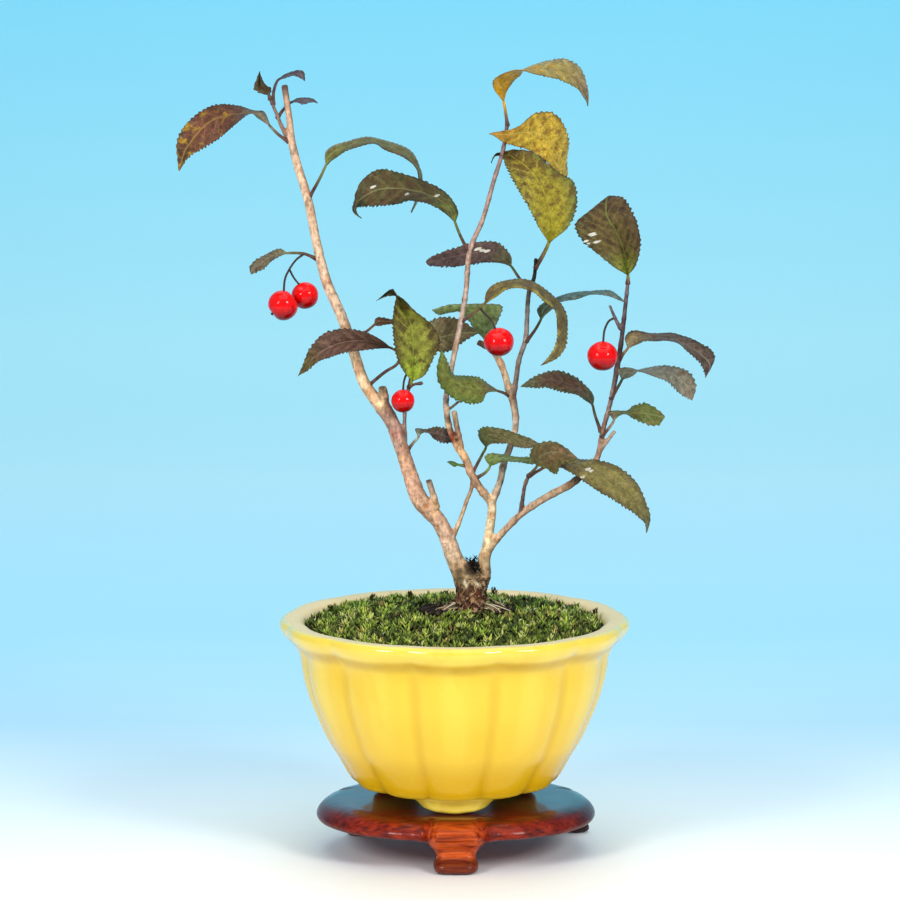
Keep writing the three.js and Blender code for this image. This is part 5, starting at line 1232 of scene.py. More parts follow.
# %% Scars of the bark
SCARS = [  # column, row, depth, size in mm and colour: flakes, rings and healed cuts, and painted shadow in the fork
    (463.5, 581, 0, 0.85, "f6e6bc"), (465, 583.5, 0, 0.95, "fff2cc"), (467.2, 586, 0, 0.85, "f0dcae"),
    (480.5, 586, 0, 0.95, "ead4a8"), (477.5, 583.8, 0, 0.95, "f8e8be"), (474.5, 581.5, 0, 0.85, "ecd6a6"),
    (468, 577, 1.0, 1.1, "d6bc8c"), (461, 596, 1.0, 1.0, "a87850"), (473, 600, 0.6, 1.0, "b48a5e"),
    (466, 603, 0.8, 1.1, "3a2014"), (480, 600, -0.6, 1.0, "a47248"), (476, 606, 0, 1.0, "34190e"),
    # The three near-black spots on this line are painted shadow, in the hollow of the fork between the two
    # trunks.
    (470.5, 571, -1.6, 2.4, "17110b"), (474, 566, -3.4, 1.8, "1b140d"), (467, 566, -2.2, 1.5, "2a2015"),
    (460, 580, 1.0, 1.7, "4a3b25"), (471, 588, 1.2, 1.6, "2e1b12"), (482, 590, -1.0, 1.5, "37231a"),
    (470, 590, 0.8, 1.4, "4a2a1a"), (478, 594, 0.4, 1.3, "6a3c27"), (460, 572, 0.4, 1.6, "4d3f25"),
    (456, 565, -0.2, 1.2, "7d6a48"), (480, 572, -3.8, 1.2, "54402a"), (403, 458, 5.6, 0.9, "d8a270"),
    (406, 464, 5.6, 0.8, "dca674"), (412, 472, 4.8, 0.9, "cf9a6c"), (426, 506, 2.8, 1.2, "9c6238"),
    (434, 513, 2.2, 1.2, "d7a876"), (437, 527, 1.6, 1.1, "cba078"), (452, 540, 0.6, 0.9, "a98a60"),
    (380, 404, 8.8, 1.4, "d8b489"), (384, 392, 10.5, 1.2, "8c6f4e"), (395, 436, 6.8, 1.3, "a06a5c"),
    (339, 306, 6.0, 0.7, "7b5c48"), (341, 311, 6.0, 0.6, "8a6a54"), (329, 283, 4.2, 0.6, "8f705c"),
    (318, 240, 1.8, 0.5, "94745f"), (311, 210, -0.8, 0.5, "8f6f5c"), (487, 540, -3.6, 1.0, "e8cfa4"),
    (493, 520, -2.8, 0.8, "c3a078"), (455, 434, -0.8, 1.0, "5f2418"), (457, 440, -0.6, 0.8, "4a1f14"),
    (513, 398, -5.2, 0.9, "6f5340"), (428.5, 479.5, 4.2, 1.3, "362a25"), (382.5, 386, 9.2, 1.5, "46341f"),
    (384, 399, 9.0, 1.1, "e0c096"), (568, 485, 3.6, 1.0, "8a6a4e"), (548, 497, 2.0, 0.8, "cdb093")]


print(len(SCARS), "scars")

# %% Relief and colours of the skin
FOOT_ROWS = (562, 584)  # between these picture rows the bark turns from smooth to flaking


def nearest_place(points, chunk=6000):
    """For every point, the route place whose bark it is: the least distance less the half thickness."""
    found = []
    for start in range(0, len(points), chunk):
        some = points[start:start + chunk]
        square = (some ** 2).sum(1)[:, None] + (line_points ** 2).sum(1)[None] - 2 * some @ line_points.T
        found.append(np.argmin(np.sqrt(np.maximum(square, 0)) - line_half[None], axis=1))
    return np.concatenate(found)


skin_points = points_of(wood_mesh)
flat_normals = np.empty(len(skin_points) * 3, np.float32)
wood_mesh.vertex_normals.foreach_get("vector", flat_normals)
skin_normals = flat_normals.reshape(-1, 3).astype(float)
at = nearest_place(skin_points)
tint = line_tones[at]
rough = smooth_step((line_rows[at] - FOOT_ROWS[0]) / (FOOT_ROWS[1] - FOOT_ROWS[0]))
thick = np.clip((line_half[at] - 1.0) / 2.0, 0, 1)
for column, row, depth, size, code in SCARS:
    away = np.linalg.norm((skin_points - seen([column, row, depth])) * [1, 0.3, 1], axis=1)
    weight = np.exp(-(away / size) ** 4)[:, None] * 0.85
    tint = tint + (colour(code) - tint) * weight
    rough = rough * (1 - 0.8 * weight[:, 0])
# Painted light and shade: bark that faces a light from the upper left front is lightened, and the sides
# turned away from it are darkened.
PAINTED_LIGHT_DIRECTION = np.array([-0.5, -0.62, 0.6])
turned_to_light = skin_normals @ (PAINTED_LIGHT_DIRECTION / np.linalg.norm(PAINTED_LIGHT_DIRECTION))
tint = tint * (0.3 + 0.9 * smooth_step((turned_to_light + 0.5) / 1.3))[:, None]
lumps = ripples(skin_points, 4.2, 31) * 0.16 * thick + ripples(skin_points, 1.8, 32) * (0.04 + 0.06 * thick)
flakes = (ripples(skin_points * [1, 1, 0.5], 2.2, 33) * 0.6 + ripples(skin_points, 1.2, 34) * 0.4) * rough
move_points(wood_mesh, skin_points + skin_normals * (lumps + flakes)[:, None])
store(wood_mesh, "tint", tint)
store(wood_mesh, "rough", rough[:, None])
print("colours and relief on", len(skin_points), "points")

# %% The bark
bark = Finish("bark", Specular_IOR_Level=0.2)
bark_tint = bark.read("tint", "Color")
crust = bark.read("rough")
fleck = bark.noise(2.3, detail=5, rough=0.62)
fibre = bark.noise(0.9, bark.place * (1, 1, 0.3), 3)
patches = bark.noise(5.5, detail=2)
pits = bark.step(bark.cells(1.5, bark.place * (0.8, 0.8, 1.5)), 0.26, 0.12)
shade = bark_tint * (fleck * 2.7 + fibre * 2.0 - 1.22)
shade = bark.mix(shade, bark_tint * 1.4, bark.step(patches, 0.55, 0.72) * 0.4)
shade = bark.mix(shade, bark_tint * (0.78, 0.5, 0.34), bark.step(patches, 0.46, 0.34) * 0.55)
shade = bark.mix(shade, bark_tint * (1.8, 1.6, 1.4), pits * (1 - crust) * 0.45)
knots = bark.step(bark.cells(3.1, bark.place * (1, 1, 1.6)), 0.2, 0.1)
shade = bark.mix(shade, bark_tint * (0.42, 0.32, 0.28), knots * (1 - crust) * 0.4)
chips = bark.noise(1.3, detail=4, rough=0.8)
shade = bark.mix(shade, colour("100704"), bark.step(chips, 0.54, 0.44) * crust)
plates = bark.noise(1.6, bark.place * (1, 1, 0.7), 4, 0.7, 0.8)
shade = bark.mix(shade, colour("eac096"), bark.step(plates, 0.53, 0.57) * crust * 0.8)
bark.paint(shade, 0.55 + fleck * 0.25, [(fibre, 0.3), (fleck, 0.8), (pits, 0.12), (chips * crust, 1.2)])
place("bark_wood", wood_mesh, bark.material, "bark", "stems")

# %% [markdown]
# Where the two trunks part, a dark tuft of old needles and bark has caught. A few hair roots also run from
# the stump over the grit. Both are single strands too thin for the voxel skin, so they are their own pieces.

# %% The tuft in the fork
TUFT_BLADES = 260
tuft = Clay("fork_tuft")
tuft_roots = seen([471.5, 568, -4.6]) + rng.normal(0, 1, (TUFT_BLADES, 3)) * [1.3, 1.2, 1.3]
tuft_axis = np.broadcast_to([0.0, -0.2, 1.0], tuft_roots.shape)
tuft_blades = blades(tuft_roots, tuft_axis, rng.uniform(0, 7, TUFT_BLADES),
                     rng.uniform(0.1, 1.4, TUFT_BLADES), np.zeros(TUFT_BLADES),
                     rng.uniform(1.2, 2.6, TUFT_BLADES), np.full(TUFT_BLADES, 0.8))
add_blades(tuft, tuft_blades, picked(rng, "14100d 241b14 0d0b0a 33281c", TUFT_BLADES))
place("fork_tuft", tuft.mesh(), rubble.material, "bark")

# %% Hair roots
HAIRS = 24
HAIR_STATIONS = 26
HAIR_SIDES = 7
HAIR_STARTS = (92.2, 95.6)  # least and greatest height at the stump
HAIR_END = 89.1
HAIR_TONES = ["e0d0ae", "b8a080", "8a7052"]
hairs = Clay("hair_roots")
foot_at = seen([471, 606, -5])
for number in range(HAIRS):
    aside = rng.uniform(-0.5, 0.55)
    heading = aside if number % 2 else np.pi - aside
    reach_out = rng.uniform(8, 15)
    way = np.array([math.cos(heading), math.sin(heading) * 0.75])
    knots = np.linspace(0.25, 1, 5)[:, None]
    ground = foot_at[:2] + way * knots * reach_out + rng.normal(0, 0.5, (5, 2))
    start = rng.uniform(*HAIR_STARTS)
    height = start + (HAIR_END - start) * knots + rng.normal(0, 0.15, (5, 1))
    strand = np.hstack([ground, height])
    line = curve_at(strand, even_t(strand, HAIR_STATIONS)[0])
    hairs.solid(tube(line, np.linspace(0.28, 0.14, HAIR_STATIONS), HAIR_SIDES),
                tint=colour(HAIR_TONES[number % 3])[None, None])
place("hair_roots", hairs.mesh(), rubble.material, "bark")

# %% [markdown]
# ## Leaves
# A leaf hangs, arches and curls its own way, so each is given by three lines: its midrib with depths, and
# the two edges as they are seen. How far an edge comes forward or goes back follows from the leaf's real
# breadth: what the picture doesn't show of it must lie in depth. Across the three lines the blade is a
# thin closed shell with a sunken midrib above and a raised one below, halves that swell a little between
# the side veins, and fine teeth that lean to the tip. Cut-out pictures of leaves on flat cards are common,
# but they have no thickness and no rim, and look wrong from the side.

# %% The leaves' ribs and edges
# half is the blade's true half breadth in mm. turned says of each edge whether it comes towards the viewer,
# 1, or goes back, -1. stalk, base and tip are places in the picture with a depth. Each of the rows has the
# first edge's column and row, then a place on the midrib, then the second edge's column and row.
Leaf = namedtuple("Leaf", "half turned stalk base tip rows")
LEAVES = {
    1: Leaf(6.6, (1, -1), [(289, 142, -7), (279, 135, -6.4)], (270, 126, -6), (179, 171, 8), [
        (264, 111, 262, 116, -5, 258, 118), (253, 110.5, 253, 112, -4, 252, 114),
        (238, 105.5, 236, 113, -1, 238, 122), (212, 105.5, 212, 120, 3, 222, 136.5),
        (190, 120, 195, 136, 6, 204, 148), (177, 140, 184, 153, 8, 189, 157)]),
    2: Leaf(3.4, (1, 1), [(270.6, 100, -8)], (268.8, 95, -8), (259.5, 71, -7), [
        (262, 94, 266, 91, -8, 272, 90), (254, 89, 260, 86, -7.5, 265, 84),
        (257, 77.5, 259.5, 78, -7, 262, 78)]),
    3: Leaf(2.4, (1, -1), [(273, 105, -7.6), (274, 90, -9)], (278, 80, -9), (305, 81, -5), [
        (284, 74.5, 284.5, 76, -8.5, 286, 78), (292, 71.5, 293, 73.5, -8, 294, 76),
        (303, 71.5, 300, 74, -6, 298, 77)]),
    4: Leaf(2.4, (1, -1), [(277.5, 118, -7.2), (283, 110, -10.6), (287, 105.5, -12)],
        (291, 102.5, -11.5), (318, 103, -7), [
        (298, 97.5, 298, 100, -10, 297, 102.5), (306, 97, 306, 100.5, -9, 303, 104.5),
        (313, 99, 313, 101, -8, 311, 102.7)]),
    5: Leaf(5.2, (-1, 1), [(309, 198, -3), (320, 178, -2)], (326, 165, -2), (412, 213, -9), [
        (326, 152, 330, 155, -2.4, 334, 159), (345, 142, 346, 146.5, -3.4, 348, 151),
        (368, 137, 368, 141, -4.4, 372, 144.5), (393, 143, 391, 147, -5.4, 385, 149.5),
        (412, 153, 409, 156.5, -6.4, 405, 158), (422, 172, 419.5, 172.5, -7.4, 417, 171),
        (422, 192, 419, 192, -8.4, 417, 192)]),
    6: Leaf(6.8, (1, -1), [(467.5, 250, -1), (460, 235, 0.5)], (455, 222, 2), (361, 219, 2), [
        (458, 213, 451, 210, 3, 445, 213), (450, 197, 438, 198, 4.4, 430, 205),
        (430, 183, 418, 191, 5.4, 413, 201), (402, 173.5, 398, 188, 6, 393, 204.5),
        (378, 169.5, 377, 190, 6, 374, 206.5), (360, 183, 362, 198, 5.4, 361, 207),
        (353.5, 201, 356, 203.5, 4.4, 357.5, 208), (352, 210, 354, 212, 3.4, 356, 211)]),
    7: Leaf(4, (-1, 1), [(317, 259, 1), (305, 254, 2), (296, 253, 3.4)], (287, 253, 4.6),
        (251, 274.5, 9), [
        (280, 249, 280, 252.5, 5.6, 280, 256), (268, 253.5, 268, 258, 7, 270, 262.5),
        (256, 260.5, 258, 265, 8, 263, 269), (250, 267, 252, 269, 8.6, 256, 272.5)]),
    8: Leaf(6.2, (1, 1), [(368, 386, 6), (385, 372, 8.4), (397, 364, 9.4), (400, 355, 9.8)],
        (392, 348.5, 10), (298, 376, 12), [
        (383, 341, 380, 344.5, 10.4, 381, 348.5), (368, 333, 364, 340.5, 11, 362, 350.5),
        (346, 328.5, 344, 342, 11.4, 344, 353), (325, 333, 328, 348, 12, 330, 357.5),
        (310, 348, 314, 357.5, 12, 318, 362), (303, 364, 305, 368, 12, 308, 370.5)]),
    9: Leaf(8.8, (1, 1), [(409, 387, 5.6)], (412, 381, 9), (376, 301, 15), [
        (404, 372, 412, 371, 12, 424, 376), (397, 358, 413, 354, 15, 434, 358),
        (393.5, 338, 413, 336, 17, 440, 341), (392.5, 322, 409, 319, 18, 431, 324),
        (394, 307, 402, 305, 18, 414, 310), (396, 296, 398, 297, 17.6, 401, 297.5),
        (393, 289, 391, 292, 17, 390, 296)]),
    10: Leaf(1.8, (1, -1), [(347, 337, 4.4), (358, 337, 5.4), (367, 331, 5.6)], (374, 325, 5.6),
        (399, 320, 6.6), [
        (376, 318, 377, 322, 5.6, 379, 326), (384, 317.5, 384, 321, 6, 385, 324.5),
        (391, 319, 392, 321, 6.4, 391, 323.5)]),
    11: Leaf(6.6, (-1, 1), [(412, 369, 5.4), (418, 360, 3), (425, 352, 0)], (431, 346, -3),
        (479, 333, -12), [
        (430, 322, 437, 339, -5.2, 440, 352), (446, 317, 450, 335, -8, 452, 350),
        (463, 321, 465, 333, -10.2, 465, 341)]),
    12: Leaf(6.6, (-1, -1), [(491, 350, -5.6), (488, 345, -7.4)], (485, 340, -9), (432, 310, -18), [
        (474, 329, 484, 326, -11.4, 494, 328), (466, 317, 482, 314, -13.4, 500, 316),
        (458, 311.5, 474, 308, -15, 502, 306), (448, 313.5, 456, 309, -16.4, 470, 304.5),
        (438, 315, 442, 310.5, -17.4, 448, 305)]),
    13: Leaf(4.6, (-1, 1), [(460, 323, -1.6), (475, 312, 1)], (485, 303, 3), (541, 366, 6), [
        (487, 291, 490, 296, 4.5, 494, 298.5), (499, 281.5, 503, 286, 6, 506, 290.5),
        (520, 279.5, 521, 283.5, 8, 520, 288), (537, 283, 535, 287, 9, 533, 292),
        (552, 294, 548, 298, 9.4, 543, 301), (564, 309, 559, 311, 9, 554, 310),
        (568, 328, 563, 329, 8.4, 558, 327), (566, 345, 560, 345, 7.6, 556, 341),
        (558, 357, 554, 356, 7, 551, 354)]),
    14: Leaf(5.6, (-1, 1), [(530, 290, -12), (520, 279, -12.4)], (511, 266, -12), (425.5, 262, -9), [
        (511, 257, 505, 261, -11.4, 500, 263), (500, 243.5, 492, 252, -10.4, 486, 262.5),
        (480, 241.5, 474, 253, -9.6, 470, 265), (457, 247, 452, 257, -9, 450, 267),
        (440, 253, 438, 260, -9, 436, 266.5), (429, 258, 428.5, 262, -9, 428.5, 265.5)]),
    15: Leaf(5, (-1, 1), [(526, 342, -9.8), (535, 330, -8)], (541, 319, -6.6), (627.5, 303.5, 10), [
        (537, 310, 543, 310, -5.4, 549, 312), (543, 302.5, 550, 304, -4, 556, 306.5),
        (557, 297, 560, 299.5, -2.4, 562, 302.5), (572, 293.5, 574, 295.5, 0, 576, 298.5),
        (592, 290.5, 592, 292.7, 3, 592, 295), (610, 291, 609, 293, 6, 608, 295.5)]),
    16: Leaf(6, (1, -1), [(507.5, 126, -2.5), (505.5, 112, -2)], (503.5, 101, -1.4), (588, 106, -3), [
        (494.5, 90, 502, 90, 0.6, 508, 89), (493, 81, 503, 80, 2.6, 514, 81.5),
        (499, 75, 509, 75, 4, 519, 77), (511, 71, 517, 71.5, 5, 521, 74), (525, 71, 525, 69.8, 5.4, 524, 69),
        (539, 75, 541, 69, 5, 541, 63), (560, 80, 562, 71, 3, 562, 58.5), (576, 88, 577, 80, 0.6, 581, 68),
        (584, 98, 585, 94, -1.6, 587.5, 88)]),
    17: Leaf(7.6, (-1, 1), [(536, 266, -13), (543, 254.5, -14.5), (549, 242, -15.5), (553, 228, -16)],
        (556, 205, -16), (489, 133.5, 3), [
        (565, 184, 560, 182, -15.2, 556, 182), (568, 158, 559, 160, -13.6, 550, 165),
        (567, 133, 550, 142, -10, 538, 155.5), (555, 114, 539, 133, -6.2, 526, 149),
        (536, 113, 526, 132, -3, 515, 146), (517, 127, 511, 134, 0.4, 504, 142.5),
        (501, 131, 498, 134.5, 2, 498, 138.5)]),
    18: Leaf(8.8, (1, 1), [(535, 269, -12.6), (542, 258, -12.4)], (549, 243, -11), (491, 163, -7.8), [
        (539, 228, 552, 226, -9, 569, 226), (530, 210, 548, 205, -7.6, 577, 203),
        (520, 193, 541, 186, -6.6, 573, 181), (511, 177, 530, 170, -6, 558, 172),
        (505.5, 165, 517, 160, -6.8, 540, 156.5), (503, 158, 508, 155, -7.2, 520, 149.5),
        (499, 156, 500, 154, -7.4, 501, 152), (493.5, 157, 495, 156, -7.6, 496, 154)]),
    19: Leaf(10.6, (1, 1), [(627.8, 284, 18.8)], (628, 275, 19.6), (608, 196, 13), [
        (615, 268, 627, 266, 20.4, 635, 267), (598, 254, 623, 248, 21.4, 640.5, 246),
        (582, 240, 616, 231, 21.4, 638, 226), (575, 225, 607, 216, 20.4, 631, 209),
        (590, 210, 606, 204, 17.6, 622.5, 197.5)]),
    20: Leaf(6, (1, -1), [(619, 360, 14.8), (624, 353, 16.4)], (628, 348, 17.6), (706, 378, 24), [
        (625, 338, 631, 341, 19, 636, 345), (632, 331, 641, 336, 20.4, 646, 341.5),
        (651, 332.5, 655, 336.5, 21.6, 659, 341), (674, 334, 674, 338.5, 22.6, 674, 342),
        (694, 340, 690, 346, 23.6, 687, 350), (709, 348, 703, 356, 24.6, 698, 361),
        (715, 357, 710, 365, 25, 703, 369)]),
    21: Leaf(5.4, (1, -1), [(611, 399, 11), (618, 387, 14.4)], (622, 379.5, 16.4), (692, 400.5, 18), [
        (618, 370, 624, 373, 18, 628, 378), (627, 368, 632, 371, 19.4, 634, 375),
        (641, 372, 641, 370.8, 20.4, 640, 369.5), (655, 376.5, 655, 371.5, 20.8, 654, 366.5),
        (668, 382.5, 672, 374, 20.6, 673, 366), (678, 392, 684, 383, 20, 689, 372),
        (685, 397, 691, 391, 19, 696, 385)]),
    22: Leaf(4.2, (1, -1), [(601.5, 437, 7.4), (609, 428, 9.6)], (614, 420, 11.6), (665, 417, 17), [
        (608, 412, 613, 413, 13, 619, 416), (617, 410.5, 620, 412.5, 13.6, 622, 414.5),
        (627, 411, 627, 412.5, 14.4, 627, 414), (634, 406, 636, 412.5, 15, 633, 418),
        (646, 403, 648, 413.5, 16, 645, 424), (659, 410.5, 658, 416, 16.6, 658, 425.5)]),
    23: Leaf(5, (-1, 1), [(601, 432, 7.8), (595, 415, 8)], (592.5, 405, 7.6), (520.5, 386.5, 3), [
        (594, 398, 590, 400, 7.4, 588, 402), (586, 385, 580, 390, 7, 577, 395.5),
        (570, 374, 565, 383, 6.4, 562, 392), (551, 370.5, 549, 380, 5.4, 549, 388.5),
        (534, 376.5, 534, 382.5, 4, 535, 388)]),
    24: Leaf(6.6, (-1, 1), [(511, 397, -7), (504, 393, -5.6)], (498, 391, -4.6), (442, 350, 2), [
        (490, 384.5, 489, 388, -3, 487, 393), (480, 378, 478, 389, -1, 482, 402),
        (466, 375.5, 463, 386, 1, 468, 403.5), (454, 374.5, 452, 379, 2.4, 452, 398),
        (450, 369, 444, 371, 2.8, 440, 385), (447, 360, 442, 361, 2.6, 437, 368)]),
    25: Leaf(7, (-1, 1), [(529, 476, 4.4), (538, 471, 6)], (547, 466, 7.4), (647, 533, 16), [
        (560, 456, 560, 462, 8.6, 560, 467.5), (578, 459, 578, 466, 9.8, 576, 475),
        (597, 460, 597, 473, 11.4, 592, 487), (617, 466, 614, 483, 13, 609, 497),
        (636, 482, 629, 496, 15, 624, 507), (645, 500, 639, 509, 16, 637, 515.5),
        (649, 515, 646, 519, 16.4, 644, 523)]),
    26: Leaf(6.4, (-1, 1), [(528.5, 476, 4.2), (533, 471, 7.4)], (537, 466, 9.6), (578, 459, 14), [
        (530, 455, 538, 458, 11.6, 545, 468), (537, 444, 547, 453, 13.6, 556, 474),
        (552, 441.5, 558, 452, 14.6, 561, 466), (567, 448, 568, 455, 14.6, 570, 462)]),
    27: Leaf(5.6, (-1, 1), [(472, 474, -2), (482, 455, -0.5)], (486, 447, 0.5), (543, 446, 6), [
        (480, 440, 485, 441, 1.5, 491, 444), (478, 432, 487, 436, 3, 497, 443.5),
        (483, 427, 496, 434, 4.2, 506, 443.5), (500, 428.5, 510, 437, 5, 516, 446.5),
        (517, 434, 523, 441, 5.4, 527, 448), (530, 438, 534, 442.5, 5.8, 535, 447.5)]),
    28: Leaf(3.4, (-1, 1), [(475, 479, -2.4), (486, 472, -1.5)], (490, 466, -0.5), (541, 461, 4), [
        (484.5, 457, 489, 461, 0.5, 493, 465), (489, 453.5, 494, 458.5, 1.2, 498, 463.5),
        (500, 454.5, 502, 458, 2, 504, 461), (515, 457, 516, 459.3, 3, 517, 462),
        (531, 457, 531, 460.3, 3.6, 532, 464)]),
    29: Leaf(3.4, (1, -1), [(407, 451, 3), (414, 442, 3.4)], (418.5, 437, 3), (456, 441, -7.4), [
        (415.5, 429, 419, 430, 3.4, 423, 432.5), (424, 429, 426, 431, 2.6, 428, 433),
        (437, 427.5, 437, 433.5, -0.6, 434, 438.5), (447, 429, 446, 436, -4.6, 444, 443)]),
    30: Leaf(1.5, (1, -1), [(467, 465.5, -2), (463, 465.5, -1)], (459, 464.8, -0.6), (447, 461.5, 1),
        [(455.5, 461.8, 455, 464, 0, 454.5, 466.8), (450.5, 460.6, 450.5, 462.6, 0.6, 450.5, 464.6)]),
}
print(len(LEAVES), "leaves")

# %% [markdown]
# Autumn has reached the tree: some leaves are still green, some plum-brown, some golden with brown blotches.
# Each leaf gets its own few named colours: at the heel, the belly and the tip, along its two edges, its
# ribs, and the blotches with how much of the blade they cover.

# %% Colours of each leaf
LEAF_TONES = {  # heel, belly, tip, first edge, second edge, ribs, blotches; share of blotches, heel to tip
    1: ("8f8470 72493a 4c3426 5f4234 6b4a36 b0904c b08a3a", 0.1, 0.5),
    2: ("5f5340 6e5f46 8a897b 4a4033 4a4033 7a6a50 39302a", 0.4),
    3: ("5f5560 6d6169 57494f 4a4046 6a5c60 8a7a80 433a3f", 0.3),
    4: ("6a5f66 736770 5b4d52 4f454b 6a5f64 8b7f86 463d42", 0.3),
    5: ("6a6f3a 62603a 66735a 8f8a70 4e4a2c 8d8d5a 6b4d33", 0.4),
    6: ("757e3a 5a5031 4a4836 565230 403a26 8c8c5c 55402d", 0.5),
    7: ("76704e 756850 655a48 5c523e 7c7258 948a70 554636", 0.35),
    8: ("6b5442 6e5244 77703c 5c463a 58423a b09488 43302c", 0.3),
    9: ("a9ba48 8e8c3e 827a5e 46341f 46341f a8b854 463222", 0.25, 0.7),
    10: ("6f5038 6b4d38 594436 5a4636 5a4636 8b7055 4a3428", 0.3),
    11: ("74694a 6d6244 5f583e 746b4c 585038 a0a078 5d4a34", 0.4),
    12: ("6c7c4c 7a8a50 767f4a 667648 8c9c6c 929f6c 5d6c42", 0.3),
    13: ("7a6c40 6b6038 877c50 74603a b0a04c 6e5c50 574430", 0.45),
    14: ("5b5e3a 594540 524444 6a5648 4a3b38 7f6a60 4a3735", 0.35),
    15: ("3c4c2c 566a62 5f645c 4a5c58 7d8578 8a9690 3c4a38", 0.35),
    16: ("f0ac10 9a8a54 857264 8f8048 8c8468 8f7e50 c08a1c", 1.0, -0.2),
    17: ("c0a44a c8a848 a87836 ae9040 bc9c44 d4bc64 7d562c", 0.4),
    18: ("a89c38 a2933c 684c34 9a9040 5e6a3c b4aa50 5c4429", 0.15, 0.85),
    19: ("868c3f 665632 523e2a 5c5434 5a4630 848c48 3c2c20", 0.3, 0.6),
    20: ("b09a70 6c5a4e 443834 4a4434 62564a 958a7a 453a34", 0.3),
    21: ("383c2b 7a7868 80705c 848070 62604c 9c9484 66584a", 0.3),
    22: ("a38f78 666c3c 656a3a 58662f 6d7440 8a8f58 7d6a40", 0.35),
    23: ("474e38 614836 5a6542 566040 4c5034 7b6a5c 4f3d36", 0.35),
    24: ("6a5644 74773a 727a3c 587046 5c7034 8a9450 66603a", 0.3),
    25: ("745a40 827748 66623f 584f34 5c5434 8a8258 958e3e", 0.1, 0.14),
    26: ("67603a 675638 5c4f38 666438 6c6838 88805a 8d6a4c", 0.25),
    27: ("46562a 6e6642 6a6048 50602c 75664c 85805a 544c2e", 0.35),
    28: ("7c8c48 809058 75804e 8c9a62 6d7c42 a4ae7c 6c7440", 0.3),
    29: ("a2a68e 6d5850 55514a 6b6a3e 5c4e44 8c7a68 4d403a", 0.35),
    30: ("6f8d4a 6b8a48 617c42 6f8d4a 5f7c40 8aa662 5d7540", 0.2),
}
LEAF_SLOTS = {
    "plum_leaf": [1, 2, 3, 4, 8, 10, 14, 19, 20, 21, 23, 29],
    "gold_leaf": [13, 16, 17, 18],
    "green_leaf": [5, 6, 7, 9, 11, 12, 15, 22, 24, 25, 26, 27, 28, 30],
}
print({slot: len(numbers) for slot, numbers in LEAF_SLOTS.items()})

# %% Three lines of a leaf
TOOTH_SPACING = 1.6
TOOTH_DEPTH = 0.8
ROWS_PER_TOOTH = 4
SHELL_HALF = 0.16
VEIN_PAIRS = 8.5
SWELL = 0.16           # how far each half of the blade swells, as a share of its width
QUILT = 0.13           # mm that the blade swells between two side veins
RIB_GROOVE = 0.22      # mm that the midrib sinks above
RIB_KEEL = 0.3         # mm that it stands out below
EDGE_WAVE = 0.45       # mm that the edge waves
ACROSS = np.array([-1, -0.97, -0.9, -0.8, -0.68, -0.56, -0.44, -0.33, -0.23, -0.14, -0.07, -0.03, 0,
                   0.03, 0.07, 0.14, 0.23, 0.33, 0.44, 0.56, 0.68, 0.8, 0.9, 0.97, 1])
COLUMNS = np.concatenate([ACROSS, ACROSS[::-1]])[:, None]  # over the upper side and back under the lower
UPPER = np.arange(len(COLUMNS))[:, None] < len(ACROSS)


def smoothed(values, width):
    """A running average, with the ends held."""
    kernel = np.hanning(width + 2)[1:-1]
    padded = np.pad(values, width // 2, "edge")
    return np.convolve(padded, kernel / kernel.sum(), "valid")[:len(values)]


def leaf_lines(leaf):
    """The rib and both edges as points in space, one row every quarter of a tooth.

    An edge is drawn as seen. Its depth differs from the rib's so that its distance from the rib is the
    blade's true half width there, which is the power 0.75 of a sine that leans towards the heel."""
    rows = np.array(leaf.rows, float)
    rib_knots = seen(np.vstack([leaf.base, rows[:, 2:5], leaf.tip]))
    _, length = even_t(rib_knots, 2)
    count = max(6, round(length / TOOTH_SPACING)) * ROWS_PER_TOOTH + 1
    t, _ = even_t(rib_knots, count)
    rib = curve_at(rib_knots, t)
    along = np.linspace(0, 1, count)
    wide = leaf.half * np.maximum(0, np.sin(np.pi * along ** 0.85)) ** 0.75
    edges = []
    for columns, sign in zip((slice(0, 2), slice(5, 7)), leaf.turned):
        drawn = curve_at(np.vstack([leaf.base[:2], rows[:, columns], leaf.tip[:2]]), t)
        level = seen(np.column_stack([drawn, -rib[:, 1]]))
        hidden = np.sqrt(np.maximum(0, wide ** 2 - ((level - rib) ** 2).sum(1)))
        hidden = smoothed(hidden, 2 * (count // 24) + 3)
        edges.append(seen(np.column_stack([drawn, -rib[:, 1] + sign * hidden])))
    return rib, edges, along, length


print("the widest leaf is", max(2 * leaf.half for leaf in LEAVES.values()), "mm across")

# %% The shell of a blade


def both_sides(upper, lower):
    """One closed band of columns: over the upper side and back under the lower one."""
    return np.concatenate([upper, lower[:, ::-1]], 1)


def unit(vectors):
    """The same directions with the length 1."""
    return vectors / np.maximum(np.linalg.norm(vectors, axis=-1, keepdims=True), 1e-9)


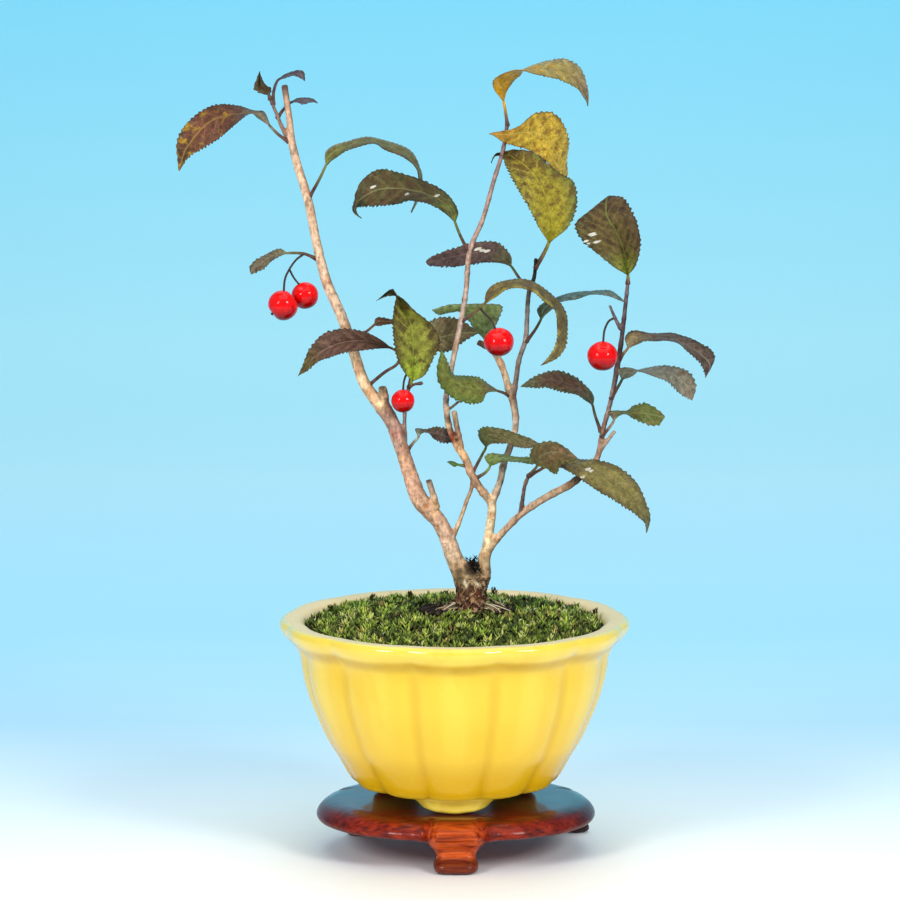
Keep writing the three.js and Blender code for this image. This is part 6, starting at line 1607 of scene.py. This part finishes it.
def leaf_grid(leaf, seed):
    """The blade's shell, its distance from the midrib in mm, the phase of its side veins and how it lies.

    Each row runs straight from the rib to both edges, which step in and out by one tooth. Along its normal
    it then rises by a swell on each half, a cosine between the veins and a ripple at the edge. The shell
    is half its thickness to each side of that, less a groove above the midrib and with a keel below it."""
    rib, edges, along, length = leaf_lines(leaf)
    count = len(along)
    tooth = (np.arange(count) % ROWS_PER_TOOTH) / (ROWS_PER_TOOTH - 1)
    toothed = smooth_step((along - 0.08) / 0.12) * smooth_step((1 - along) / 0.05)
    thin = 0.42 * (1 - smooth_step(along / 0.05))[:, None]
    rng_leaf = np.random.default_rng(100 + seed)
    sides, widths = [], []
    for edge in edges:
        wide = np.maximum(np.linalg.norm(edge - rib, axis=1, keepdims=True), 1e-6)
        chance = np.repeat(rng_leaf.uniform(0.15, 1.35, count // ROWS_PER_TOOTH + 1), ROWS_PER_TOOTH)
        size = TOOTH_DEPTH * np.clip(wide / 3, 0.25, 1) * chance[:count, None]
        sides.append((edge - rib) / wide * (wide + size * ((tooth - 0.5) * toothed)[:, None] + thin))
        widths.append(wide)
    u = ACROSS[:, None]
    v = along[:, None, None]
    side, wide = (np.where(u < 0, first[:, None], second[:, None]) for first, second in (sides, widths))
    normal = unit(np.cross(np.gradient(rib, axis=0), sides[1] - sides[0]))
    normal = unit(np.stack([smoothed(normal[:, k], 9) for k in range(3)], -1))[:, None]
    if (normal.mean((0, 1)) * [0, -0.35, 1]).sum() < 0:
        normal = -normal
    mm_across = np.abs(u) * wide
    phase = (v * length - mm_across * 0.85 - 0.03 * mm_across ** 2) / (length / VEIN_PAIRS)
    swell = SWELL * wide * (np.abs(u) - u ** 2)
    quilt = QUILT * np.cos(2 * np.pi * phase) * np.clip(wide / 4, 0, 1) * (1 - u ** 4)
    ripple = ripples(np.concatenate(np.broadcast_arrays(v * length, 40 * np.sign(u)), -1), 9, seed)
    wave = EDGE_WAVE * ripple[..., None] * np.abs(u) ** 3 * np.clip(v * 6, 0, 1)
    groove = RIB_GROOVE * np.exp(-(mm_across / 0.45) ** 2)
    keel = RIB_KEEL * np.exp(-(mm_across / 0.5) ** 2) * (1 - 0.7 * v)
    middle = rib[:, None] + side * np.abs(u) + normal * (swell + quilt + wave)
    thickness = SHELL_HALF * (0.55 + 0.45 * (1 - u ** 6))
    grid = both_sides(middle + normal * (thickness - groove),
                      middle - normal * (thickness + keel + 0.1 * groove))
    faces_viewer = normal[:, 0].mean(0)[1] < 0
    return grid, both_sides(mm_across, mm_across), both_sides(phase, phase), v, length, faces_viewer


print("a blade's shell is", 2 * SHELL_HALF, "mm thick")

# %% Tints and painted glints of a blade
PAINTED_GLINTS = {  # painted glints, small pale highlights: column, row and half size in mm
    6: [(373, 187, 0.8), (407, 194, 0.6), (437, 195.5, 0.7)],
    14: [(478, 249, 0.9), (482, 250.5, 0.7), (487, 251, 0.8)],
    19: [(591.5, 234, 0.8), (586.5, 241, 0.7), (597, 242, 0.8), (594, 235, 0.6), (589, 243.5, 0.5)],
    25: [(588, 469, 0.8), (583, 477, 0.6), (591, 471, 0.6)],
    28: [(652.5, 416, 0.6)],
}


def leaf_tint(shades, v, faces_viewer):
    """A leaf's own colours over its grid: from heel to tip along it, then towards each edge's colour.

    The side that is turned away is half as strong and half pale grey-green."""
    heel, belly, tip, first, second = shades
    tint = heel + (belly - heel) * smooth_step((v - 0.05) / 0.3)
    tint = tint + (tip - tint) * smooth_step((v - 0.62) / 0.36)
    edge = np.where(COLUMNS < 0, first, second)
    tint = tint + (edge - tint) * smooth_step((np.abs(COLUMNS) - 0.45) / 0.5) * 0.75
    return np.where(UPPER != faces_viewer, (tint + colour("8d8d72")) * 0.5, tint)


def worn(grid, spots):
    """1 on the painted glints: how near each point lies to the sight line through a glint's column and row.
    """
    found = np.zeros(grid.shape[:2])
    for column, row, size in spots:
        near, far = seen([column, row, 20]), seen([column, row, -20])
        off = np.cross(grid - near, (far - near) / np.linalg.norm(far - near))
        off = np.hypot(off[..., 2] * 0.6, off[..., 0] * 1.5 + off[..., 2] * 0.4)
        found = np.maximum(found, np.exp(-(off / size) ** 4))
    return found[..., None]


print("worn spots on leaves", list(PAINTED_GLINTS))

# %% [markdown]
# A leaf's skin has side veins with a fine net between them, freckles, blotches and a dark rim. An image could
# carry all that. Here the veins repeat with a phase that travels on the points, and noise does the rest, so
# every leaf has its own skin and none is stretched.

# %% The leaf material


def leaf_finish(name, gloss):
    """Blade, veins and blotches from the values on the points. The vein lines repeat with the phase."""
    blade = Finish(name, Specular_IOR_Level=0.16, Coat_Weight=0.05, Coat_Roughness=0.25)
    span = blade.read("span", "Vector")
    share = blade.read("share")
    flat = blade.read("flat", "Vector")
    across = blade.axis("X", flat)
    phase = blade.axis("X", span)
    saw = blade.node("Math", {"operation": "PINGPONG"}, {0: phase, 1: 0.5})
    bare_edge = blade.axis("Y", span)
    side_veins = blade.step(saw, 0.075, 0.02) * (1 - bare_edge * 0.65)
    midrib = blade.step(across, 0.42, 0.18)
    net_veins = blade.node("TexVoronoi", {"feature": "DISTANCE_TO_EDGE"},
                           {"Vector": flat, "Scale": 1.05}, "Distance")
    mesh_lines = blade.step(net_veins, 0.09, 0.02)
    clouds = blade.noise(3.2, detail=4, rough=0.6, bend=0.3)
    grainy = blade.noise(0.7, rough=0.6)
    tint = blade.read("tint", "Color")
    blotched = blade.step(clouds + share * 0.4 + saw * 0.16, 0.68, 0.86) * blade.step(side_veins, 0.9, 0.3)
    tone = blade.mix(tint, blade.read("blotch", "Color"), blotched * 0.8)
    freckles = blade.step(blade.cells(1.9), 0.2, 0.1) * blade.step(clouds, 0.5, 0.6)
    tone = blade.mix(tone, tone * (0.5, 0.38, 0.32), freckles * 0.7)
    crinkle = blade.noise(1.5, detail=5, rough=0.72, bend=0.5)
    tone = tone * (crinkle * 2.6 + clouds * 0.8 + grainy * 0.7 - 1.05) * (1.22 - saw * 0.6)
    tone = blade.mix(tone, tone * (0.72, 0.7, 0.66), mesh_lines * 0.35)
    vein_tone = blade.read("ribs", "Color")
    tone = blade.mix(tone, vein_tone, side_veins * 0.24)
    tone = blade.mix(tone, vein_tone, midrib * 0.55)
    rim = blade.step(bare_edge, 0.91, 0.99)
    tone = blade.mix(tone, tone * (0.36, 0.28, 0.26), rim * 0.85)
    # Painted highlights: pale glints laid on the listed spots of a few leaves, broken up by grain.
    glint_mask = blade.step(blade.read("worn") + grainy * 0.8, 0.72, 1.0)
    tone = blade.mix(tone, colour("e9e2d2"), glint_mask * 0.85)
    tone = blade.node("HueSaturation", inputs={"Saturation": 1.05, "Value": 1.05, "Color": tone})
    relief = side_veins * -0.8 + mesh_lines * -0.25
    blade.paint(tone, gloss + clouds * 0.2, [(relief, 0.2), (crinkle, 0.75), (grainy, 0.1)])
    return blade.material


LEAF_FINISHES = {name: leaf_finish(name, gloss) for name, gloss in
                 (("green_leaf", 0.36), ("plum_leaf", 0.33), ("gold_leaf", 0.38))}
print("leaf finishes:", list(LEAF_FINISHES))

# %% Every leaf
for slot, numbers in LEAF_SLOTS.items():
    for number in numbers:
        name = f"leaf_{number:02d}"
        codes, *shares = LEAF_TONES[number]
        *blade_tones, rib_tone, blotch_tone = colours(codes)
        grid, mm_across, phase, v, length, faces_viewer = leaf_grid(LEAVES[number], number)
        flat = np.concatenate(np.broadcast_arrays(mm_across, v * length, number * 7.0), -1)
        span = np.concatenate(np.broadcast_arrays(phase, np.abs(COLUMNS), 0.0), -1)
        blade = Clay(f"{name}_blade")
        blade.solid(grid, worn=worn(grid, PAINTED_GLINTS.get(number, [])), flat=flat, span=span,
                    tint=leaf_tint(blade_tones, v, faces_viewer), ribs=rib_tone[None, None],
                    blotch=blotch_tone[None, None], share=shares[0] + (shares[-1] - shares[0]) * v)
        place(blade.name, blade.mesh(), LEAF_FINISHES[slot], slot, name)

# %% [markdown]
# ## Stalks
# Each leaf hangs on a stalk that leaves the twig in a small swollen collar and runs on into the midrib. The
# fruits hang on thinner dark ones. Both are tubes carried along routes, like the wood, but too slender for
# the voxel skin, so they are one piece of their own that starts inside the wood.

# %% Leaf stalks and fruit stalks
FRUIT_STALKS = [  # each place is a column, a row, a depth and a thickness in mm
    [[303, 254.5, 2.4, 0.9], [296, 260, 4, 0.8], [289, 270, 6, 0.8], [285, 279, 7.6, 0.8],
     [283.6, 294.5, 8.8, 0.8]],
    [[289.5, 269.5, 6, 0.8], [294, 278, 4, 0.7], [300.8, 286.3, 2.3, 0.7]],
    [[480, 308, 2.2, 0.9], [485, 314, 3.6, 0.8], [491, 320, 4.6, 0.8], [496.8, 332, 5, 0.8]],
    [[614.5, 318, 17.4, 0.9], [609, 321, 18.6, 0.8], [604.6, 330, 19.8, 0.8], [603, 345.5, 20, 0.8]],
    [[411, 373, 5.4, 0.9], [407, 374, 7, 0.8], [404, 381, 9, 0.8], [403, 393, 9.6, 0.8]],
]
STALK_WIDTH = 1.15
STALK_SIDES = 10
stalks = Clay("stalks")
no_crust = np.zeros((1, 1, 1))
for number, leaf in LEAVES.items():
    base = np.array(leaf.base)
    run_in = base + (leaf.rows[0][2:5] - base) * 0.55
    knots = seen([*leaf.stalk, base, run_in])
    t, length = stations(knots, 0.5, 10)
    share = np.linspace(0, 1, len(t))
    base_share = 1 - 0.5 * np.linalg.norm(knots[-1] - knots[-2]) / length
    half = STALK_WIDTH / 2 * (1.18 - 0.4 * share) * (1 + 0.45 * np.exp(-(share * length / 1.6) ** 2))
    half = half * np.clip((1.12 - share) / (1.12 - base_share), 0.35, 1)
    near_wood, heel = colour("5b4038"), colours(LEAF_TONES[number][0])[0]
    tint = near_wood + (heel - near_wood) * smooth_step(share * 1.3 - 0.2)[:, None]
    stalks.solid(tube(curve_at(knots, t), half, STALK_SIDES), tint=tint[:, None], rough=no_crust)
for route in map(np.array, FRUIT_STALKS):
    knots = seen(route[:, :3])
    t, length = stations(knots, 0.4, 12)
    half = np.interp(t * (len(route) - 1), np.arange(len(route)), route[:, 3]) / 2
    half = half * (1 + 0.35 * np.exp(-((1 - np.linspace(0, 1, len(t))) * length) ** 2))
    stalks.solid(tube(curve_at(knots, t), half, STALK_SIDES), tint=colour("3c302e")[None, None],
                 rough=no_crust)
place("stalks", stalks.mesh(), bark.material, "bark", "stems")

# %% [markdown]
# ## Fruits
# A fruit is a ball a little wider than tall, with a dimple where the stalk enters and the dried flower at
# the other end. It is a half outline turned round its own axis, which leans as the fruit hangs. A scaled
# sphere would miss the dimple and the flat shoulder, which catch the light. The skin is a clear waxy red
# with pale pores.

# %% Skin and dried flowers
fruit_skin = Finish("fruit_skin", Coat_Weight=0.65, Coat_Roughness=0.04, Coat_IOR=1.42, IOR=1.3,
                    Specular_IOR_Level=0.05)
height = fruit_skin.read("height")
pores = fruit_skin.cells(1.35)
mottle = fruit_skin.noise(2.4, detail=3)
# Painted shade: the red darkens towards the fruit's underside, with a cloudy mottle.
red = fruit_skin.ramp(height * 0.8 + mottle * 0.3, (0.12, "3a0105"), (0.34, "a2020a"), (0.58, "ea080e"),
                      (0.95, "f2100f"))
red = fruit_skin.mix(red, colour("ff6a4a"), fruit_skin.step(pores, 0.11, 0.05) * 0.35)
fruit_skin.paint(red, 0.22 + mottle * 0.12, [(mottle, 0.05), (pores, 0.02)])
sepal_finish = Finish("dried_sepals", Specular_IOR_Level=0.25)
fibres = sepal_finish.noise(0.6, detail=3)
sepal_finish.paint(sepal_finish.read("tint", "Color") * (fibres + 0.5), 0.7 + fibres * 0.2, [(fibres, 0.1)])
print("the fruits' finishes are", fruit_skin.material.name, "and", sepal_finish.material.name)

# %% Every fruit
FRUITS = {  # the middle's place, breadth and height in mm, and the direction of the axis
    "fruit_1": ((283, 305.5, 9), 11.2, 10.6, (0.8, 0.15, 0.6)),
    "fruit_2": ((305, 295.5, 2), 9.9, 9.7, (-0.3, -0.7, 1)),
    "fruit_3": ((499, 342, 5), 11, 10, (-0.15, -0.7, 1)),
    "fruit_4": ((602.5, 356, 20), 11.1, 10.3, (0.05, -0.7, 1)),
    "fruit_5": ((403, 401, 9.6), 8.6, 8.4, (0, -0.6, 1)),
}
ROUND = 72
DOWN = 60
SEPALS = 22
OUTER_SEPALS = 6


def fruit_frame(up):
    """Three directions at right angles: two across the fruit and one along its axis."""
    axis = np.array(up, float) / np.linalg.norm(up)
    right = np.cross(axis, [0.2, 1.0, 0.1])
    right /= np.linalg.norm(right)
    return right, np.cross(axis, right), axis


def ring(turn, right, other):
    """Directions round the axis: the cosine along the one and the sine along the other."""
    return np.cos(turn)[:, None] * right + np.sin(turn)[:, None] * other


down = np.linspace(0.02, np.pi - 0.02, DOWN)[:, None]
round_it = full_turn(ROUND)
dimple = 0.16 * np.exp(-(down / 0.33) ** 2) + 0.10 * np.exp(-((np.pi - down) / 0.36) ** 2)
shoulder = 1 + 0.012 * np.cos(5 * round_it) * np.sin(down) ** 2
sepal_turn = np.arange(SEPALS) * GOLDEN
is_outer = np.arange(SEPALS) < OUTER_SEPALS
sepal_tints = colours("3a2016 55331f 21120c")[np.arange(SEPALS) % 3]
sepals = Clay("dried_flowers")
for name, (centre, across, tall, up) in FRUITS.items():
    right, other, axis = fruit_frame(up)
    middle = seen(centre)
    radius = across / 2 * np.sin(down) ** 0.94 * shoulder
    level = tall / 2 * np.cos(down) * (1 - dimple)
    skin = middle + radius[..., None] * ring(round_it, right, other) + level[..., None] * axis
    ball = Clay(f"{name}_skin")
    ball.solid(skin, height=0.5 + (skin[..., 2:] - middle[2]) / tall)
    place(ball.name, ball.mesh(), fruit_skin.material, "fruit", name)
    end = middle - axis * tall / 2 * 0.86
    flower = blades(end + 0.5 * ring(sepal_turn, right, other), np.broadcast_to(-axis, (SEPALS, 3)),
                    sepal_turn, np.where(is_outer, 0.5, 1.15), np.zeros(SEPALS),
                    np.where(is_outer, 1.7, 1.1), np.where(is_outer, 0.75, 0.35))
    add_blades(sepals, flower, sepal_tints)
place("dried_flowers", sepals.mesh(), sepal_finish.material, "fruit")
